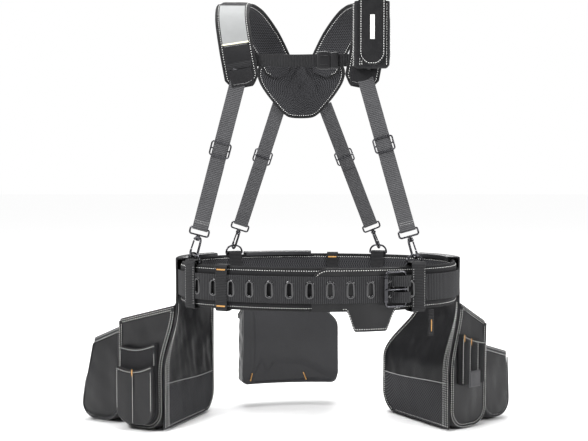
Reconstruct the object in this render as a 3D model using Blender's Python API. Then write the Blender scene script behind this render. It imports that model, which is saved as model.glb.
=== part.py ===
# Padded tool rig: belt ring, two big pouches, back pouch, suspenders.
# Metres, +Z up, front towards -Y. Built around the belt's centre, then
# moved so the origin is the bottom centre of the whole rig.
import math
import bpy
import bmesh
import numpy as np

for old in list(bpy.data.objects):
    bpy.data.objects.remove(old, do_unlink=True)

# ---------------------------------------------------------------- dimensions
RING_END_R = 0.125      # radius of the belt oval's two end arcs
RING_END_X = 0.153      # where those arcs are centred, left and right
RING_HALF_Y = 0.165     # half depth of the oval
PAD_Z0 = 0.264          # belt padding, bottom
PAD_Z1 = 0.347          # belt padding, top
PAD_T = 0.011           # belt padding thickness
WEB_H = 0.050           # belt webbing width
WEB_T = 0.0025          # belt webbing thickness
STRAP_W = 0.030         # suspender webbing width
STRAP_T = 0.0018
BAIL_W = STRAP_W + 0.0070      # wire centre to wire centre, clear of the webbing
SLIDER_W = STRAP_W + 0.0072
BUCKLE_H = WEB_H + 0.0140      # buckle frame, wire centre to wire centre
ROLLER_H = WEB_H - 0.0030
PAD_W = 0.066           # shoulder pad width
SHOULDER_T = 0.010
BAG_WALL = 0.0022       # pouch wall
PANEL_T = 0.003         # pouch back panel
LIP = 0.007             # how far its fold reaches down inside the belt
R_DEPTH = 0.102         # right pouch, front to back
L_DEPTH = 0.108         # left pouch, front to back
HOLSTER_D = 0.114       # holster depth at its foot
UPPER_D = 0.0110        # depth of the left gusset's upper pocket
HOLE_N = 12             # oblong holes along the front webbing
HOLE_PITCH = 0.0375     # centre to centre
HOLE_S0 = -0.245        # first hole, along the belt
MID_X = -0.034          # centre line of the suspenders

D2 = (RING_END_X ** 2 + RING_HALF_Y ** 2 - RING_END_R ** 2)
R2 = D2 / (2 * (RING_HALF_Y - RING_END_R))
D2 = R2 - RING_HALF_Y
FT = math.atan2(RING_END_X, D2)
LF = R2 * FT
LE = RING_END_R * (math.pi - 2 * FT)
LT = 4 * LF + 2 * LE
WEB_Z = (PAD_Z0 + PAD_Z1) / 2

# ---------------------------------------------------------------- materials
def material(name, rgb, rough, metal=0.0):
    m = bpy.data.materials.new(name)
    m.use_nodes = True
    b = m.node_tree.nodes["Principled BSDF"]
    b.inputs["Base Color"].default_value = (*rgb, 1.0)
    b.inputs["Roughness"].default_value = rough
    b.inputs["Metallic"].default_value = metal
    return m


LEATHER = material("black_leather", (0.045, 0.045, 0.048), 0.55)
FABRIC = material("black_fabric", (0.022, 0.022, 0.024), 0.9)
MESH_CLOTH = material("air_mesh", (0.03, 0.03, 0.032), 0.95)
WEBBING = material("grey_webbing", (0.07, 0.07, 0.073), 0.85)
METAL = material("gunmetal", (0.25, 0.25, 0.26), 0.3, 1.0)
PLASTIC = material("buckle_plastic", (0.02, 0.02, 0.02), 0.45)
REFLECT = material("reflective_tape", (0.45, 0.46, 0.46), 0.4)

SHOWN = bpy.data.collections.new("tool_rig")
bpy.context.scene.collection.children.link(SHOWN)
TOOLS = bpy.data.collections.new("cutters")
bpy.context.scene.collection.children.link(TOOLS)
PARTS = {}


# ---------------------------------------------------------------- builders
def obj_from(name, verts, faces, mat, origin=(0, 0, 0), home=None):
    o3 = np.array(origin, float)
    me = bpy.data.meshes.new(name)
    me.from_pydata([tuple(np.array(v) - o3) for v in verts], [], faces)
    bm = bmesh.new()
    bm.from_mesh(me)
    bmesh.ops.remove_doubles(bm, verts=bm.verts, dist=1e-6)
    bmesh.ops.recalc_face_normals(bm, faces=bm.faces)
    if bm.calc_volume(signed=True) < 0:
        bmesh.ops.reverse_faces(bm, faces=bm.faces)
    bm.to_mesh(me)
    bm.free()
    ob = bpy.data.objects.new(name, me)
    ob.location = tuple(o3)
    me.materials.append(mat)
    if home is None:
        SHOWN.objects.link(ob)
        PARTS[name] = ob
    else:
        home.objects.link(ob)
        ob.hide_render = True
        ob.display_type = 'WIRE'
    return ob


def skin(rings, closed=False):
    """Vertices and faces of a tube through rings of equal length."""
    n = len(rings[0])
    verts = [p for r in rings for p in r]
    faces = []
    m = len(rings)
    for i in range(m if closed else m - 1):
        a = i * n
        b = ((i + 1) % m) * n
        for k in range(n):
            k2 = (k + 1) % n
            faces.append((a + k, a + k2, b + k2, b + k))
    if not closed:
        faces.append(tuple(range(n))[::-1])
        faces.append(tuple(range((m - 1) * n, m * n)))
    return verts, faces


def loft(name, rings, mat, closed=False, origin=(0, 0, 0), home=None):
    v, f = skin(rings, closed)
    return obj_from(name, v, f, mat, origin, home)


def unit(v):
    v = np.array(v, float)
    return v / np.linalg.norm(v)


def ring_phi(s):
    s = (s + LT / 2) % LT - LT / 2
    sg = 1.0 if s >= 0 else -1.0
    a = abs(s)
    if a <= LF:
        return sg * a / R2, 0.0, D2, R2
    if a <= LF + LE:
        return sg * (FT + (a - LF) / RING_END_R), sg * RING_END_X, 0.0, RING_END_R
    return sg * (math.pi - FT + (a - LF - LE) / R2), 0.0, -D2, R2


def ring(s, off, z):
    p, cx, cy, r = ring_phi(s)
    return np.array([cx + (r + off) * math.sin(p), cy - (r + off) * math.cos(p), z])


def ring_n(s):
    p = ring_phi(s)[0]
    return np.array([math.sin(p), -math.cos(p), 0.0])


def ring_t(s):
    p = ring_phi(s)[0]
    return np.array([math.cos(p), math.sin(p), 0.0])


def s_at(deg):
    """Arc length where the outward normal has turned deg from the front."""
    sg = 1.0 if deg >= 0 else -1.0
    a = abs(math.radians(deg))
    if a <= FT:
        return sg * R2 * a
    if a <= math.pi - FT:
        return sg * (LF + RING_END_R * (a - FT))
    return sg * (LF + LE + R2 * (a - math.pi + FT))


def steps(a, b, n):
    return [a + (b - a) * i / (n - 1) for i in range(n)]


def smooth(t):
    t = min(1.0, max(0.0, t))
    return t * t * (3 - 2 * t)


def strip(name, pts, nrm, wid, w, t, mat, origin=(0, 0, 0), home=None):
    """Flat band along pts; nrm is the thickness way, wid the width way."""
    rings = []
    for p, n, a in zip(pts, nrm, wid):
        p = np.array(p, float)
        n = np.array(n, float) * t / 2
        a = np.array(a, float) * w / 2
        c = 0.35 * t / w
        rings.append([p - a + n * 0.4, p - a * (1 - c) + n, p + a * (1 - c) + n,
                      p + a + n * 0.4, p + a - n * 0.4, p + a * (1 - c) - n,
                      p - a * (1 - c) - n, p - a - n * 0.4])
    return loft(name, rings, mat, False, origin, home)


def settle(ob, mat, origin, home):
    """Turn an evaluated curve or primitive into a clean mesh part."""
    bpy.context.view_layer.update()
    ev = ob.evaluated_get(bpy.context.evaluated_depsgraph_get())
    me = bpy.data.meshes.new_from_object(ev)
    me.transform(ob.matrix_world)
    name = ob.name
    bpy.data.objects.remove(ob, do_unlink=True)
    bm = bmesh.new()
    bm.from_mesh(me)
    bmesh.ops.remove_doubles(bm, verts=bm.verts, dist=1e-6)
    bmesh.ops.recalc_face_normals(bm, faces=bm.faces)
    bmesh.ops.translate(bm, verts=bm.verts, vec=[-float(v) for v in origin])
    bm.to_mesh(me)
    bm.free()
    me.name = name
    me.materials.clear()
    me.materials.append(mat)
    new = bpy.data.objects.new(name, me)
    new.location = tuple(float(v) for v in origin)
    if home is None:
        SHOWN.objects.link(new)
        PARTS[name] = new
    else:
        home.objects.link(new)
        new.hide_render = True
        new.display_type = 'WIRE'
    return new


def wire(name, pts, r, mat, closed=False, res=2, origin=(0, 0, 0), home=None):
    """Round wire: a curve with a round bevel, capped where it ends."""
    cu = bpy.data.curves.new(name, 'CURVE')
    cu.dimensions = '3D'
    sp = cu.splines.new('POLY')
    sp.points.add(len(pts) - 1)
    for q, p in zip(sp.points, pts):
        q.co = (float(p[0]), float(p[1]), float(p[2]), 1.0)
    sp.use_cyclic_u = closed
    cu.bevel_depth = r
    cu.bevel_resolution = res
    cu.use_fill_caps = True
    ob = bpy.data.objects.new(name, cu)
    SHOWN.objects.link(ob)
    return settle(ob, mat, origin, home)


def prism(name, outline, o, ex, ey, ez, t, mat, origin=(0, 0, 0), home=None):
    """Plate: a flat outline in ex, ey, extruded from 0 to t along ez."""
    bm = bmesh.new()
    o, ex, ey, ez = [np.array(v, float) for v in (o, ex, ey, ez)]
    face = bm.faces.new([bm.verts.new(tuple(o + ex * a + ey * b)) for a, b in outline])
    grown = bmesh.ops.extrude_face_region(bm, geom=[face])["geom"]
    bmesh.ops.translate(bm, verts=[g for g in grown if isinstance(g, bmesh.types.BMVert)],
                        vec=tuple(ez * t))
    me = bpy.data.meshes.new(name)
    bm.to_mesh(me)
    bm.free()
    ob = bpy.data.objects.new(name, me)
    SHOWN.objects.link(ob)
    return settle(ob, mat, origin, home)


def block(name, x0, x1, y0, y1, z0, z1, mat, origin=(0, 0, 0), home=None):
    """Box between two corners."""
    bm = bmesh.new()
    bmesh.ops.create_cube(bm, size=1.0)
    bmesh.ops.scale(bm, verts=bm.verts, vec=(x1 - x0, y1 - y0, z1 - z0))
    bmesh.ops.translate(bm, verts=bm.verts, vec=((x0 + x1) / 2, (y0 + y1) / 2, (z0 + z1) / 2))
    me = bpy.data.meshes.new(name)
    bm.to_mesh(me)
    bm.free()
    ob = bpy.data.objects.new(name, me)
    SHOWN.objects.link(ob)
    return settle(ob, mat, origin, home)


def lathe(name, prof, o, axis, side, mat, seg=16, origin=(0, 0, 0), home=None, tube=False):
    """Turn prof (radius, height) about axis through o; tube leaves it open inside."""
    o = np.array(o, float)
    ax = unit(axis)
    e1 = unit(side)
    e2 = np.cross(ax, e1)
    rings = []
    for r, h in prof:
        rings.append([o + ax * h + r * (math.cos(a) * e1 + math.sin(a) * e2)
                      for a in [2 * math.pi * j / seg for j in range(seg)]])
    return loft(name, rings, mat, tube, origin, home)


def boolean(ob, other, how):
    m = ob.modifiers.new(how.lower(), 'BOOLEAN')
    m.operation = how
    m.solver = 'EXACT'
    m.object = other
    return m


def round_rect(w, h, r, n=4):
    """Closed outline of a w by h rectangle with corner radius r, centred."""
    out = []
    for cx, cy, a0 in ((w / 2 - r, h / 2 - r, 0), (-w / 2 + r, h / 2 - r, 90),
                       (-w / 2 + r, -h / 2 + r, 180), (w / 2 - r, -h / 2 + r, 270)):
        for k in range(n + 1):
            a = math.radians(a0 + 90 * k / n)
            out.append((cx + r * math.cos(a), cy + r * math.sin(a)))
    return out


# ---------------------------------------------------------------- belt
def band(name, s0, s1, off0, off1, zlo, zhi, n, mat):
    rings = []
    for s in steps(s0, s1, n):
        a = zlo(s) if callable(zlo) else zlo
        b = zhi(s) if callable(zhi) else zhi
        rings.append([ring(s, off0, a), ring(s, off1, a), ring(s, off1, b), ring(s, off0, b)])
    return loft(name, rings, mat)


def pad_rings(s0, s1, n):
    rings = []
    for s in steps(s0, s1, n):
        c = 0.0035
        q = [(-PAD_T + c, PAD_Z0), (-c, PAD_Z0), (0, PAD_Z0 + c), (0, PAD_Z1 - c),
             (-c, PAD_Z1), (-PAD_T + c, PAD_Z1), (-PAD_T, PAD_Z1 - c), (-PAD_T, PAD_Z0 + c)]
        rings.append([ring(s, o, z) for o, z in q])
    return rings


loft("belt_pad", pad_rings(0.115, LT + 0.035, 61), FABRIC)

S_HINGE = 0.1585        # buckle hinge bar, along the belt
S_OUTER = 0.1194        # buckle outer bar with the roller
OFF_HINGE = 0.0097
OFF_OUTER = 0.0118
S_KEEP = 0.1856         # front right keeper
S_TIP = 0.206           # belt tip
WEB_OFF = 0.0030 + WEB_T / 2


def web_off(s):
    """How far out the webbing runs: flat, up over the hinge bar, down again."""
    u = s - LT
    if u < S_OUTER + 0.006:
        return WEB_OFF
    if u < 0.150:
        return WEB_OFF + (0.0175 - WEB_OFF) * smooth((u - S_OUTER - 0.006) / (0.150 - S_OUTER - 0.006))
    if u < 0.1635:
        return 0.0175
    if u < 0.1715:
        return 0.0175 + (0.0090 - 0.0175) * smooth((u - 0.1635) / 0.008)
    return 0.0090


s_list = steps(S_HINGE - 0.001, LT - 0.215, 50) + steps(LT - 0.208, LT + 0.118, 30)
s_list += steps(LT + 0.124, LT + 0.176, 20) + steps(LT + 0.183, LT + S_TIP, 4)
rings = []
for s in s_list:
    h = WEB_H / 2
    end = LT + S_TIP - s
    if end < 0.012:
        h = h - 0.012 * (1 - math.sqrt(max(0.0, 1 - (1 - end / 0.012) ** 2))) * 0.9
    o = web_off(s)
    rings.append([ring(s, o - WEB_T / 2, WEB_Z - h), ring(s, o + WEB_T / 2, WEB_Z - h),
                  ring(s, o + WEB_T / 2, WEB_Z + h), ring(s, o - WEB_T / 2, WEB_Z + h)])
belt_web = loft("belt_web", rings, WEBBING)

for k, (za, zb) in enumerate(((WEB_Z - 0.024, WEB_Z - 0.007), (WEB_Z + 0.007, WEB_Z + 0.024))):
    c = ring(S_HINGE, OFF_HINGE, 0)
    prof = [(0.0030, za), (0.0055, za), (0.0055, zb), (0.0030, zb)]
    fold = lathe("fold_%d" % k, prof, c, (0, 0, 1), ring_n(S_HINGE), WEBBING, 16, (0, 0, 0), TOOLS, True)
    boolean(belt_web, fold, 'UNION')

hole_v = []
hole_f = []
for k in range(HOLE_N):
    s = HOLE_S0 + HOLE_PITCH * k
    o = ring(s, -0.0005 if s < 0.125 else 0.012, WEB_Z)
    if s > 0.118:
        continue
    out = round_rect(0.0085, 0.0250, 0.0042, 4)
    t, n = ring_t(s), ring_n(s)
    rr = [[o + t * a + np.array([0, 0, b]) + n * h for a, b in out] for h in (0.0, 0.012)]
    v, f = skin(rr)
    base = len(hole_v)
    hole_v += v
    hole_f += [tuple(i + base for i in q) for q in f]
holes = obj_from("web_holes", hole_v, hole_f, WEBBING, (0, 0, 0), TOOLS)
boolean(belt_web, holes, 'DIFFERENCE')
rr = []
for s in steps(0.1275, 0.1665, 8):
    rr.append([ring(s, 0.0026, WEB_Z - 0.0046), ring(s, 0.022, WEB_Z - 0.0046),
               ring(s, 0.022, WEB_Z + 0.0046), ring(s, 0.0026, WEB_Z + 0.0046)])
slot = loft("prong_slot", rr, WEBBING, False, (0, 0, 0), TOOLS)
boolean(belt_web, slot, 'DIFFERENCE')


def panel_low(s):
    if s < 0.047 or s > 0.143:
        return PAD_Z0 + 0.001
    if s < 0.065:
        return PAD_Z0 + 0.001 - 0.038 * smooth((s - 0.047) / 0.018)
    if s > 0.122:
        return PAD_Z0 + 0.001 - 0.038 * smooth((0.143 - s) / 0.021)
    return PAD_Z0 - 0.037


def panel_high(s):
    c = 0.030
    u = s + 0.017
    if u < c:
        return PAD_Z1 - c + math.sqrt(max(0.0, c * c - (c - u) ** 2)) * 0.98 - 0.001
    return PAD_Z1 - 0.001


rings = []
for s in [-0.0165] + steps(-0.014, 0.150, 42):
    a, b = panel_low(s), panel_high(s)
    rings.append([ring(s, 0.0004, a), ring(s, 0.0024, a), ring(s, 0.0024, b), ring(s, 0.0004, b)])
loft("front_panel", rings, LEATHER)

# buckle: rectangular wire frame, roller on the outer bar, prong on the hinge bar
ph = ring(S_HINGE, OFF_HINGE, 0)
po = ring(S_OUTER, OFF_OUTER, 0)
bu = unit(po - ph)
bn = np.cross(bu, (0, 0, 1.0))
if np.dot(bn, ring_n(S_HINGE)) < 0:
    bn = -bn
blen = float(np.linalg.norm(po - ph))
pts = []
for a, b in round_rect(blen, BUCKLE_H, 0.006, 4):
    pts.append(ph + bu * (a + blen / 2) + np.array([0, 0, WEB_Z + b]))
wire("buckle_frame", pts, 0.0025, METAL, True, 3)
roll_lo, roll_hi = WEB_Z - ROLLER_H / 2, WEB_Z + ROLLER_H / 2
prof = [(0.0028, roll_lo), (0.0043, roll_lo), (0.0043, roll_hi), (0.0028, roll_hi)]
lathe("buckle_roller", prof, po, (0, 0, 1), bn, METAL, 20, (po[0], po[1], WEB_Z), None, True)
pr = 0.0018
rc = 0.0025 + 0.0004 + pr
pts = []
for k in range(12):
    a = math.radians(-160 + 250 * k / 11)
    pts.append(ph + bu * (rc * math.cos(a)) + bn * (rc * math.sin(a)) + np.array([0, 0, WEB_Z]))
top = 0.0043 + pr + 0.0005
for a, h in ((blen * 0.35, 0.0052), (blen * 0.7, 0.0064), (blen - 0.003, top), (blen + 0.004, top - 0.0004)):
    pts.append(ph + bu * a + bn * h + np.array([0, 0, WEB_Z]))
wire("buckle_prong", pts, pr, METAL, False, 2, (ph[0], ph[1], WEB_Z))
JOINTS = {"buckle_roller": (po[0], po[1], WEB_Z), "buckle_prong": (ph[0], ph[1], WEB_Z)}
AXES = {"buckle_roller": (0, 0, 1), "buckle_prong": (0, 0, 1)}


def belt_band(name, s, w, off_out, ztop, mat):
    """Webbing band right round pad and webbing at s."""
    zlo, off_in, t = PAD_Z0 - 0.0021, -PAD_T - 0.0018, 0.0018
    cen_z, cen_o = (zlo + ztop) / 2, (off_in + off_out) / 2
    out = round_rect(off_out - off_in, ztop - zlo, 0.0028, 2)
    rings = []
    for a, b in out:
        d = unit((a * (ztop - zlo), b * (off_out - off_in)))
        a0, b0 = abs(a) - (off_out - off_in) / 2 + 0.0028, abs(b) - (ztop - zlo) / 2 + 0.0028
        d = unit((math.copysign(max(a0, 1e-9), a), math.copysign(max(b0, 1e-9), b)))
        ring_pts = []
        row = [-w / 2, -w / 6, w / 6, w / 2]
        for sa, k in [(q, -t / 2) for q in row] + [(q, t / 2) for q in row[::-1]]:
            o, z = cen_o + a + d[0] * k, cen_z + b + d[1] * k
            ring_pts.append(ring(s + sa, o, z))
        rings.append(ring_pts)
    return loft(name, rings, mat, True)


KEEP = {"front_left": s_at(-47.5), "front_right": S_KEEP,
        "back_left": -(LT / 2 - 0.1857), "back_right": LT / 2 - 0.138}
KEEP_W = 0.029
D_Z = PAD_Z1 + 0.0034
D_OFF = -0.0040
for side, s in KEEP.items():
    out = 0.0070 if side != "front_right" else 0.0117
    belt_band("keeper_" + side, s, KEEP_W, out, PAD_Z1 + 0.0069, WEBBING)
belt_band("belt_loop_front", -0.189, 0.024, 0.0070, PAD_Z1 + 0.0018, WEBBING)
belt_band("belt_loop_back", LT / 2 - 0.036, 0.024, 0.0070, PAD_Z1 + 0.0018, WEBBING)

# ---------------------------------------------------------------- hanging hardware
TOPS = {"front_left": np.array([-0.150, -0.0928, 0.716]), "front_right": np.array([0.082, -0.0918, 0.716]),
        "back_left": np.array([-0.080, 0.1030, 0.668]), "back_right": np.array([0.016, 0.1030, 0.668])}
SLIDE_Z = {"front_left": 0.566, "front_right": 0.575, "back_left": 0.557, "back_right": 0.557}
D_H = 0.0170
HOOK_GAP = 0.0022       # play between a D ring and the hook's bend
for side, s in KEEP.items():
    t, n = ring_t(s), ring_n(s)
    base = ring(s, D_OFF, D_Z)
    zz = np.array([0, 0, 1.0])
    hw = 0.0180
    pts = [base + t * x for x in (-hw, -hw / 2, 0, hw / 2, hw)]
    for k in range(1, 12):
        a = math.pi * k / 12
        pts.append(base + t * hw * math.cos(a) ** 1.0 + zz * D_H * math.sin(a) ** 0.8)
    wire("dring_" + side, pts, 0.0020, METAL, True, 2, base)
    JOINTS["dring_" + side] = tuple(base)
    AXES["dring_" + side] = tuple(t)
    pd = base + zz * D_H
    top = TOPS[side]
    ax = unit(top - pd)
    xh = unit(n - ax * np.dot(n, ax))
    yh = np.cross(ax, xh)
    face = np.array([0, -1.0 if side[0] == "f" else 1.0, 0])
    nn = unit(face - ax * np.dot(face, ax))
    ww = np.cross(ax, nn)
    hk = pd + ax * (0.0317 - 0.0020 - HOOK_GAP)
    # hook: collar, back wire, round bottom, nose
    prof = [(0.0026, 0.0), (0.0050, 0.0), (0.0050, 0.0050), (0.0026, 0.0050)]
    hook = lathe("hook_" + side, prof, hk, ax, xh, METAL, 14, hk, None, True)
    path = [(-0.0042, 0.0026), (-0.0075, 0.0008), (-0.0090, -0.0040), (-0.0090, -0.0140), (-0.0090, -0.0230)]
    for k in range(9):
        a = math.radians(180 + 180 * k / 8)
        path.append((0.0090 * math.cos(a), -0.0250 + 0.0090 * math.sin(a)))
    path += [(0.0090, -0.0205)]
    body = wire("hook_wire_" + side, [hk + xh * a + ax * b for a, b in path], 0.0023, METAL,
                False, 2, (0, 0, 0), TOOLS)
    boolean(hook, body, 'UNION')
    lug = prism("hook_lug_" + side, [(0.0040, 0.0004), (0.0088, -0.0016), (0.0088, 0.0014), (0.0040, 0.0046)],
                hk - yh * 0.0022, xh, ax, yh, 0.0044, METAL, (0, 0, 0), TOOLS)
    boolean(hook, lug, 'UNION')
    gp = hk + xh * 0.0076 - ax * 0.0042
    wire("gate_" + side, [gp + ax * 0.0012, gp, gp + xh * 0.0005 - ax * 0.0060, hk + xh * 0.0090 - ax * 0.0198],
         0.0016, METAL, False, 2, gp)
    JOINTS["gate_" + side] = tuple(gp)
    AXES["gate_" + side] = tuple(yh)
    JOINTS["hook_" + side] = tuple(hk)
    AXES["hook_" + side] = tuple(ax)
    # bail: stud through the collar, rectangular loop for the strap
    lb = hk + ax * 0.0215
    prof = [(0.0036, -0.0030), (0.0036, -0.0005), (0.0021, -0.0004), (0.0021, 0.0054), (0.0040, 0.0055),
            (0.0040, 0.0080)]
    bail = lathe("bail_" + side, prof, hk, ax, xh, METAL, 14, lb)
    pts = [hk + ax * 0.01490 + ww * a + ax * b for a, b in round_rect(BAIL_W, 0.0132, 0.0040, 2)]
    loop = wire("bail_loop_" + side, pts, 0.0018, METAL, True, 2, (0, 0, 0), TOOLS)
    boolean(bail, loop, 'UNION')
    JOINTS["bail_" + side] = tuple(lb)
    AXES["bail_" + side] = tuple(ww)
    # strap: outer layer up to the pad, round the bail's top bar, inner layer back up
    r_in = 0.0022
    off = r_in + STRAP_T / 2
    top_a = float(np.dot(top - lb, ax))
    sl_a = (SLIDE_Z[side] - lb[2]) / ax[2]
    P, N = [], []
    for k in range(9):
        P.append(lb + ax * (top_a - (top_a - 0.0) * k / 8) + nn * off)
        N.append(nn)
    for k in range(1, 8):
        a = math.pi * k / 8
        d = nn * math.cos(a) - ax * math.sin(a)
        P.append(lb + d * off)
        N.append(d)
    back_len = sl_a - 0.030
    for k in range(6):
        q = k / 5
        P.append(lb + ax * (back_len * q) - nn * (off - 0.0024 * smooth(q * 2.5)))
        N.append(-nn)
    strip("strap_" + side, P, N, [ww] * len(P), STRAP_W, STRAP_T, WEBBING)
    # slider: open frame with its middle bar behind the strap
    sc = lb + ax * sl_a + nn * off
    hi, lo = STRAP_T / 2 + 0.0004 + 0.0016, -STRAP_T / 2 - 0.0004 - 0.0016
    pts = [sc + nn * hi + ww * a + ax * b for a, b in round_rect(SLIDER_W, 0.0270, 0.0040, 2)]
    slider = wire("slider_" + side, pts, 0.0016, METAL, True, 2, sc)
    half = SLIDER_W / 2
    mid = [(-half, hi), (-half, lo), (half, lo), (half, hi)]
    bar = wire("slider_bar_" + side, [sc + ww * a + nn * b for a, b in mid], 0.0016, METAL,
               False, 2, (0, 0, 0), TOOLS)
    boolean(slider, bar, 'UNION')
    JOINTS["slider_" + side] = tuple(sc)
    AXES["slider_" + side] = tuple(ax)


# ---------------------------------------------------------------- suspenders
def curve(keys, n):
    """Smooth path through keys."""
    keys = [np.array(k, float) for k in keys]
    k2 = [2 * keys[0] - keys[1]] + keys + [2 * keys[-1] - keys[-2]]
    out = []
    m = len(keys) - 1
    for i in range(n):
        u = i * m / (n - 1)
        j = min(int(u), m - 1)
        f = u - j
        p0, p1, p2, p3 = k2[j:j + 4]
        out.append(0.5 * (2 * p1 + (p2 - p0) * f + (2 * p0 - 5 * p1 + 4 * p2 - p3) * f * f
                          + (3 * p1 - p0 - 3 * p2 + p3) * f ** 3))
    return out


SHOULDER = [(-0.145, -0.0880, 0.684), (-0.152, -0.0880, 0.720), (-0.160, -0.0870, 0.765),
            (-0.168, -0.0660, 0.820), (-0.166, -0.0150, 0.854), (-0.146, 0.0380, 0.848),
            (-0.112, 0.0760, 0.805), (-0.084, 0.0885, 0.750), (-0.074, 0.0890, 0.728)]


def shoulder_frames(keys, n):
    pts = curve(keys, n)
    nrm, wid = [], []
    for i, p in enumerate(pts):
        d = unit(pts[min(i + 1, n - 1)] - pts[max(i - 1, 0)])
        w = unit(np.array([1.0, 0, 0]) - d * d[0])
        nrm.append(unit(np.cross(d, w)))
        wid.append(w)
    return pts, nrm, wid


def flip(keys):
    return [(2 * MID_X - x, y, z) for x, y, z in keys]


def puffy(name, pts, nrm, wid, w, t, mat, end=0.012):
    """Padded band with rounded edges and rounded ends."""
    rings = []
    n = len(pts)
    length = sum(float(np.linalg.norm(pts[i + 1] - pts[i])) for i in range(n - 1))
    run = 0.0
    for i, p in enumerate(pts):
        if i:
            run += float(np.linalg.norm(pts[i] - pts[i - 1]))
        e = min(run, length - run)
        k = 1.0
        if e < end:
            k = 1 - (end / w) * 0.9 * (1 - math.sqrt(max(0.0, 1 - (1 - e / end) ** 2)))
        a, h = wid[i] * w / 2 * k, nrm[i] * t / 2
        rings.append([p + a + h * 0.35, p + a * 0.95 + h * 0.9, p + a * 0.82 + h, p - a * 0.82 + h,
                      p - a * 0.95 + h * 0.9, p - a + h * 0.35, p - a - h * 0.35, p - a * 0.95 - h * 0.9,
                      p - a * 0.82 - h, p + a * 0.82 - h, p + a * 0.95 - h * 0.9, p + a - h * 0.35])
    return loft(name, rings, mat)


pl, nl, wl = shoulder_frames(SHOULDER, 27)
puffy("shoulder_pad_left", pl, nl, wl, PAD_W, SHOULDER_T, FABRIC)
pr_, nr_, wr_ = shoulder_frames(flip(SHOULDER), 27)
puffy("shoulder_pad_right", pr_, nr_, wr_, PAD_W, SHOULDER_T, FABRIC)
sel = [i for i in range(27) if pl[i][1] < -0.02 and 0.766 < pl[i][2]]
face = [pl[i] + nl[i] * (SHOULDER_T / 2 + 0.0013) * (1 if nl[i][1] < 0 else -1) for i in sel]
strip("reflective_panel", face, [nl[i] for i in sel], [wl[i] for i in sel], 0.050, 0.0016, REFLECT)

yoke = [(MID_X - 0.040, 0.775), (MID_X - 0.082, 0.760), (MID_X - 0.094, 0.735), (MID_X - 0.091, 0.708),
        (MID_X - 0.078, 0.682), (MID_X - 0.058, 0.660), (MID_X - 0.034, 0.644), (MID_X, 0.638),
        (MID_X + 0.034, 0.644), (MID_X + 0.058, 0.660), (MID_X + 0.078, 0.682), (MID_X + 0.091, 0.708),
        (MID_X + 0.094, 0.735), (MID_X + 0.082, 0.760), (MID_X + 0.040, 0.775), (MID_X, 0.768)]
prism("back_yoke", yoke, (0, 0.0965, 0), (1, 0, 0), (0, 0, 1), (0, 1, 0), 0.0065, MESH_CLOTH)

# chest strap and its side release buckle
CH_Z = 0.737
CH_Y = -0.0777
for nm, xa, xb in (("chest_strap_left", -0.170, -0.0065), ("chest_strap_right", 0.0230, 0.086)):
    P = [(x, CH_Y, CH_Z) for x in steps(xa, xb, 4)]
    strip(nm, P, [(0, -1, 0)] * 4, [(0, 0, 1)] * 4, 0.024, 0.0016, WEBBING)
SOC_X0, SOC_X1 = -0.0060, 0.0200
socket = block("chest_socket", SOC_X0, SOC_X1, CH_Y - 0.0050, CH_Y + 0.0050, CH_Z - 0.017, CH_Z + 0.017, PLASTIC)
cav = block("socket_cavity", SOC_X0 + 0.004, SOC_X1 + 0.002, CH_Y - 0.0026, CH_Y + 0.0026, CH_Z - 0.0125,
            CH_Z + 0.0125, PLASTIC, (0, 0, 0), TOOLS)
boolean(socket, cav, 'DIFFERENCE')
ins_o = (0.0282, CH_Y, CH_Z)
insert = block("chest_insert", 0.0204, 0.0360, CH_Y - 0.0046, CH_Y + 0.0046, CH_Z - 0.016, CH_Z + 0.016, PLASTIC,
               ins_o)
tongue = block("insert_tongue", SOC_X0 + 0.006, 0.0215, CH_Y - 0.0020, CH_Y + 0.0020, CH_Z - 0.0115,
               CH_Z + 0.0115, PLASTIC, (0, 0, 0), TOOLS)
boolean(insert, tongue, 'UNION')
gap = block("insert_slot", 0.0220, 0.0400, CH_Y - 0.0014, CH_Y + 0.0014, CH_Z - 0.0128, CH_Z + 0.0128, PLASTIC,
            (0, 0, 0), TOOLS)
boolean(insert, gap, 'DIFFERENCE')
JOINTS["chest_insert"] = ins_o
AXES["chest_insert"] = (1, 0, 0)


# ---------------------------------------------------------------- pouches
def bag_rings(place, u0, u1, v0, v1, depth, span, z0, rim, wall, n_u=6, n_v=3, fold=0.010,
              levels=(0.5, 1.0)):
    """Open bag: place(u, v, z) puts a point; u and v run 0 to 1."""
    def loop(d, zf):
        du, dv = d / span, d / depth
        a0, a1, b0, b1 = u0 + du, u1 - du, v0 + dv, v1 - dv
        c = min(0.008, 0.2 * depth, 0.2 * span)
        cu, cv = c / span, c / depth
        uv = [(a0 + cu * 0.3, b0 + cv * 0.3)] + [(a0, b) for b in steps(b0 + cv, b1 - cv, n_v)]
        uv += [(a0 + cu * 0.3, b1 - cv * 0.3)] + [(a, b1) for a in steps(a0 + cu, a1 - cu, n_u)]
        uv += [(a1 - cu * 0.3, b1 - cv * 0.3)] + [(a1, b) for b in steps(b1 - cv, b0 + cv, n_v)]
        uv += [(a1 - cu * 0.3, b0 + cv * 0.3)] + [(a, b0) for a in steps(a1 - cu, a0 + cu, n_u)]
        return [place(u, v, zf(u, v)) for u, v in uv]

    def at(f, low):
        return lambda u, v: low + f * (rim(u, v) - low)

    out = [loop(fold * 1.6, at(0, z0)), loop(fold * 0.55, at(0, z0 + fold * 0.22)), loop(0, at(0, z0 + fold))]
    for f in levels:
        out.append(loop(0, at(f, z0 + fold)))
    for f in tuple(levels)[::-1] + (0.0,):
        out.append(loop(wall, at(f, z0 + fold)))
    out.append(loop(wall + min(fold * 1.4, 0.15 * depth), at(0, z0 + wall + 0.001)))
    return out


Z_LEVELS = (0.120, 0.145, 0.170, 0.195, 0.220, 0.258)


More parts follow.
